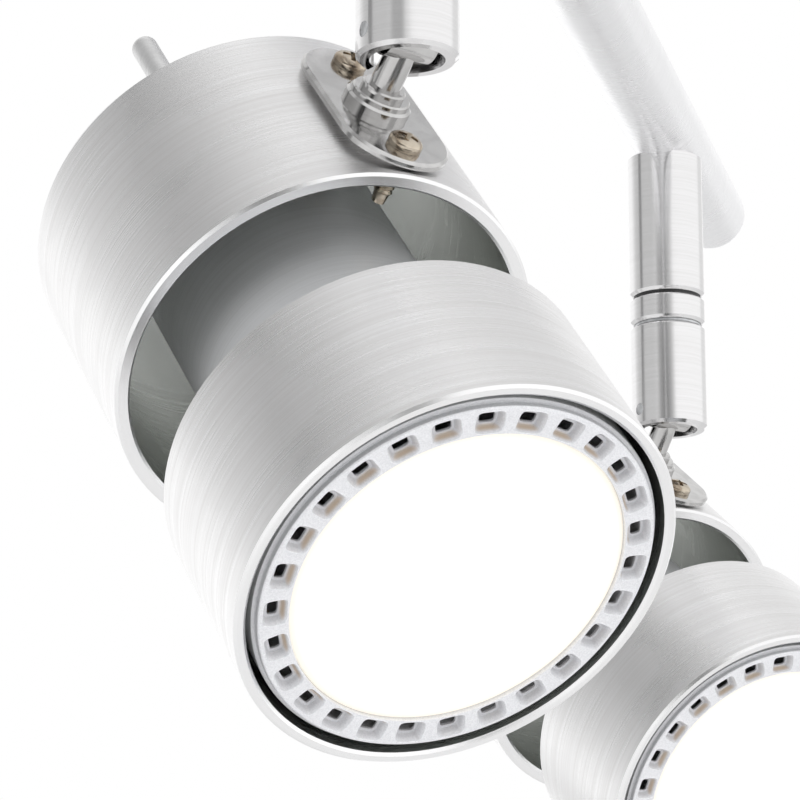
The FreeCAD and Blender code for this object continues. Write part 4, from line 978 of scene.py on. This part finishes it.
def seat_points(name, seats, way):
    """Object of one point for each seat, with its outward direction as an attribute."""
    points = bpy.data.meshes.new(name + "_places")
    points.from_pydata([place for place, towards in seats], [], [])
    outward = points.attributes.new("outward", "FLOAT_VECTOR", "POINT")
    for index, (place, towards) in enumerate(seats):
        direction = Vector()
        direction[way] = towards
        outward.data[index].vector = direction
    return new_object(name + "_source", points)


def sized_screw(name, node_name, space, way, head_share, shank_share):
    """Screw mesh with the engineering node's head radius and length, and its head's height."""
    low, high = merged_islands(nodes[node_name], space)[0]
    size = (high - low) / MM
    radius = max(size[axis] for axis in range(3) if axis != way) / 2
    height = head_share * radius
    shank = size[way] - height
    return screw_mesh(name, radius, height, shank_share * radius, shank, PITCH_SHARE * radius), height


def set_screws(kind, head, way, side, shares, finish, seed):
    """Replaces a node of screws, which stand along the local axis numbered way, by detailed ones."""
    ending = "_" + head if head else ""
    space = head_spaces[head] if head else Matrix()
    name = kind + "s_detail" + ending
    node_name = kind + "s" + ending
    mesh, head_height = sized_screw(kind + ending, node_name, space, way, *shares)
    seats = screw_seats(node_name, space, way, side, head_height)
    shape = new_object(name + "_shape", mesh)
    source = seat_points(name, seats, way)
    tree, sockets = screw_tree()
    result = run_tree(source, name, tree, sockets, {"Screw": shape, "Seed": seed, "Finish": finish})
    bpy.data.objects.remove(shape)
    piece = finish_mesh(name, result, space, finish)
    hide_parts(node_name)
    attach(piece, "head_" + head if head else "fixture")
    print(name, "has", len(seats), "screws and", len(result.polygons), "faces")


# %% [markdown]
# ## Every screw that shows
# Saddle screws stand on the saddle and rear screws on the cup's floor, so both kinds belong to a head. The
# canopy's two screws face away from each other.

# %% Set the screws
LOCAL_X, LOCAL_Y, LOCAL_Z = range(3)
SADDLE_SHARES = (0.68, 0.56)     # head's height and shank's radius, as shares of the head's radius
STEEL_SHARES = (0.66, 0.55)
SADDLE_SEED, REAR_SEED, CANOPY_SEED = 3, 11, 21
for index, head in enumerate(HEADS):
    set_screws("saddle_screw", head, LOCAL_Y, 1, SADDLE_SHARES, pale_brass,
               SADDLE_SEED + index)
    set_screws("rear_screw", head, LOCAL_Z, -1, STEEL_SHARES, zinc, REAR_SEED + index)
set_screws("canopy_screw", "", LOCAL_X, 0, STEEL_SHARES, zinc, CANOPY_SEED)

# %% [markdown]
# ## Aiming peg
# The peg is what a hand takes to aim the lamp, so it is plain, satin and a little darker than the shells.

# %% Material: aiming peg
for head, space in head_spaces.items():
    satin = turned_metal("peg_" + head, space, dark=(0.72, 0.72, 0.72), light=(0.80, 0.80, 0.80),
                         roughness=0.4, line_size=0.5 * MM, streak=5 * MM, bump=0.03, anisotropy=0.0)
    paint(satin, "aiming_peg_" + head)

# %% [markdown]
# ## Camera
# The camera stands below and in front of the near head and looks up along the bar. Its place is measured
# from the near head's tilt axle.

# %% Camera
CAMERA_HEADING = math.radians(14)    # of the view's direction, from the bar
CAMERA_PITCH = math.radians(15)
CAMERA_AHEAD = 418.4 * MM            # the near axle, ahead of the camera
CAMERA_ASIDE = 0.9 * MM
CAMERA_BELOW = 157.7 * MM
CLIP_START = 0.01
LENS_MM = 164.25
SENSOR_MM = 36.0
UP = Vector((0, 0, 1))
ahead = Vector((math.cos(CAMERA_HEADING), math.sin(CAMERA_HEADING), 0))
aside = Vector((math.sin(CAMERA_HEADING), -math.cos(CAMERA_HEADING), 0))
axle = Vector(joints["tilt_near"]["pos_m"])
eye = axle - CAMERA_AHEAD * ahead - CAMERA_ASIDE * aside - CAMERA_BELOW * UP
gaze = math.cos(CAMERA_PITCH) * ahead + math.sin(CAMERA_PITCH) * UP
camera_data = bpy.data.cameras.new("camera")
camera_data.lens = LENS_MM
camera_data.sensor_width = SENSOR_MM
camera_data.clip_start = CLIP_START
camera = new_object("camera", camera_data)
camera.rotation_mode = "QUATERNION"
camera.location = eye
camera.rotation_quaternion = gaze.to_track_quat("-Z", "Y")
bpy.context.scene.camera = camera
print("camera at", [round(value, 3) for value in eye])

# %% [markdown]
# ## Studio
# Polished metal shows its surroundings more than itself. The surroundings here are a white studio with a
# few soft dark shades and upright flags, made in the world's shader: the camera sees plain white past the
# object, while the metal reflects them.

# %% World
# round soft shades: heading and rise in degrees, full and outer half angles, brightness that is left
SHADES = [(118, 26, 22, 58, 0.58), (136, -20, 10, 26, 0.22), (186, -14, 24, 40, 0.15)]
# upright flags: heading in degrees, half width, softness, brightness that is left
FLAGS = [(104, 2, 5, 0.40), (172, 5, 14, 0.55), (330, 10, 12, 0.78)]
SKY_HEIGHTS = (-0.2, 0.9)    # of a direction's end, between which the brightness changes
SKY_LEVELS = (1.18, 0.96)


def cosine(degrees):
    """Cosine of an angle in degrees."""
    return math.cos(math.radians(degrees))


def sine(degrees):
    """Sine of an angle in degrees."""
    return math.sin(math.radians(degrees))


def aimed(heading, rise):
    """Direction with a heading and a rise in degrees."""
    return Vector((cosine(rise) * cosine(heading), cosine(rise) * sine(heading), sine(rise)))


def dim_towards(tree, light, direction, aim, inner, outer, left):
    """Light that is dimmed where a direction is near an aim."""
    kept = spread(tree, dot_product(tree, direction, aim), cosine(outer), cosine(inner), 1.0, left)
    return math_node(tree, "MULTIPLY", light, kept)


def studio_world():
    """White studio with soft dark shades and flags for the metal to reflect."""
    world = bpy.data.worlds.new("studio")
    world.use_nodes = True
    bpy.context.scene.world = world
    tree = world.node_tree
    direction = add(tree, "ShaderNodeTexCoord").outputs["Generated"]
    split = add(tree, "ShaderNodeSeparateXYZ", {0: direction})
    flat = add(tree, "ShaderNodeCombineXYZ", {0: split.outputs[0], 1: split.outputs[1]})
    level = add(tree, "ShaderNodeVectorMath", {0: flat.outputs[0]}, operation="NORMALIZE").outputs[0]
    light = spread(tree, split.outputs[2], *SKY_HEIGHTS, *SKY_LEVELS)
    for heading, rise, inner, outer, left in SHADES:
        light = dim_towards(tree, light, direction, aimed(heading, rise), inner, outer, left)
    for heading, half_width, softness, left in FLAGS:
        light = dim_towards(tree, light, level, aimed(heading, 0), half_width, half_width + softness, left)
    seen = add(tree, "ShaderNodeLightPath").outputs["Is Camera Ray"]
    set_inputs(tree, tree.nodes["Background"], {"Color": (1, 1, 1, 1),
                                                "Strength": blend_values(tree, seen, light, 1.0)})


studio_world()

# %% [markdown]
# ## Lights and floor
# Two large soft lights model the shapes. A pale floor well below fills the undersides. The camera sees
# neither, so views from beneath stay clear, and the lights stay out of reflections too.

# %% Lights and floor
# name, metres ahead, aside and up from the object's middle, width and height in metres, watts
LIGHTS = [("key", -0.9, -0.7, 0.35, (0.6, 0.9), 6), ("fill", -0.5, 0.9, -0.1, (0.5, 0.9), 3)]
FLOOR_DROP = 0.25
FLOOR_HALF = 3.0
FLOOR_COLOURS = ((0.84, 0.84, 0.84, 1), (0.88, 0.88, 0.88, 1))
FLOOR_ROUGHNESS = 0.8


def soft_light(name, place, target, size, power):
    """Large soft area light aimed at a point."""
    data = bpy.data.lights.new(name, "AREA")
    data.shape = "RECTANGLE"
    data.size, data.size_y = size
    data.energy = power
    light = new_object(name, data)
    light.location = place
    light.rotation_mode = "QUATERNION"
    light.rotation_quaternion = (target - place).to_track_quat("-Z", "Y")
    light.visible_camera = False
    light.visible_glossy = False


def pale_floor():
    """Material of the floor, with slow soft patches."""
    made, tree, shader = start_material("pale_floor")
    patches = use_group(tree, handling, {"Vector": object_place(tree), "Size": 3.0}).outputs["Mask"]
    set_inputs(tree, shader, {"Base Color": blend_colours(tree, patches, *FLOOR_COLOURS),
                              "Roughness": FLOOR_ROUGHNESS})
    return made


middle = (cad_low + cad_high) / 2
for name, forward, sideways, up, size, power in LIGHTS:
    soft_light(name, middle + forward * ahead + sideways * aside + up * UP, middle, size, power)

floor_mesh = bpy.data.meshes.new("floor")
floor_z = cad_low.z - FLOOR_DROP
corners = [(x * FLOOR_HALF, y * FLOOR_HALF, floor_z) for x, y in ((-1, -1), (1, -1), (1, 1), (-1, 1))]
floor_mesh.from_pydata(corners, [], [(0, 1, 2, 3)])
floor_mesh.materials.append(pale_floor())
floor = new_object("floor", floor_mesh)
floor.visible_camera = False
bpy.context.scene.view_settings.view_transform = "Standard"
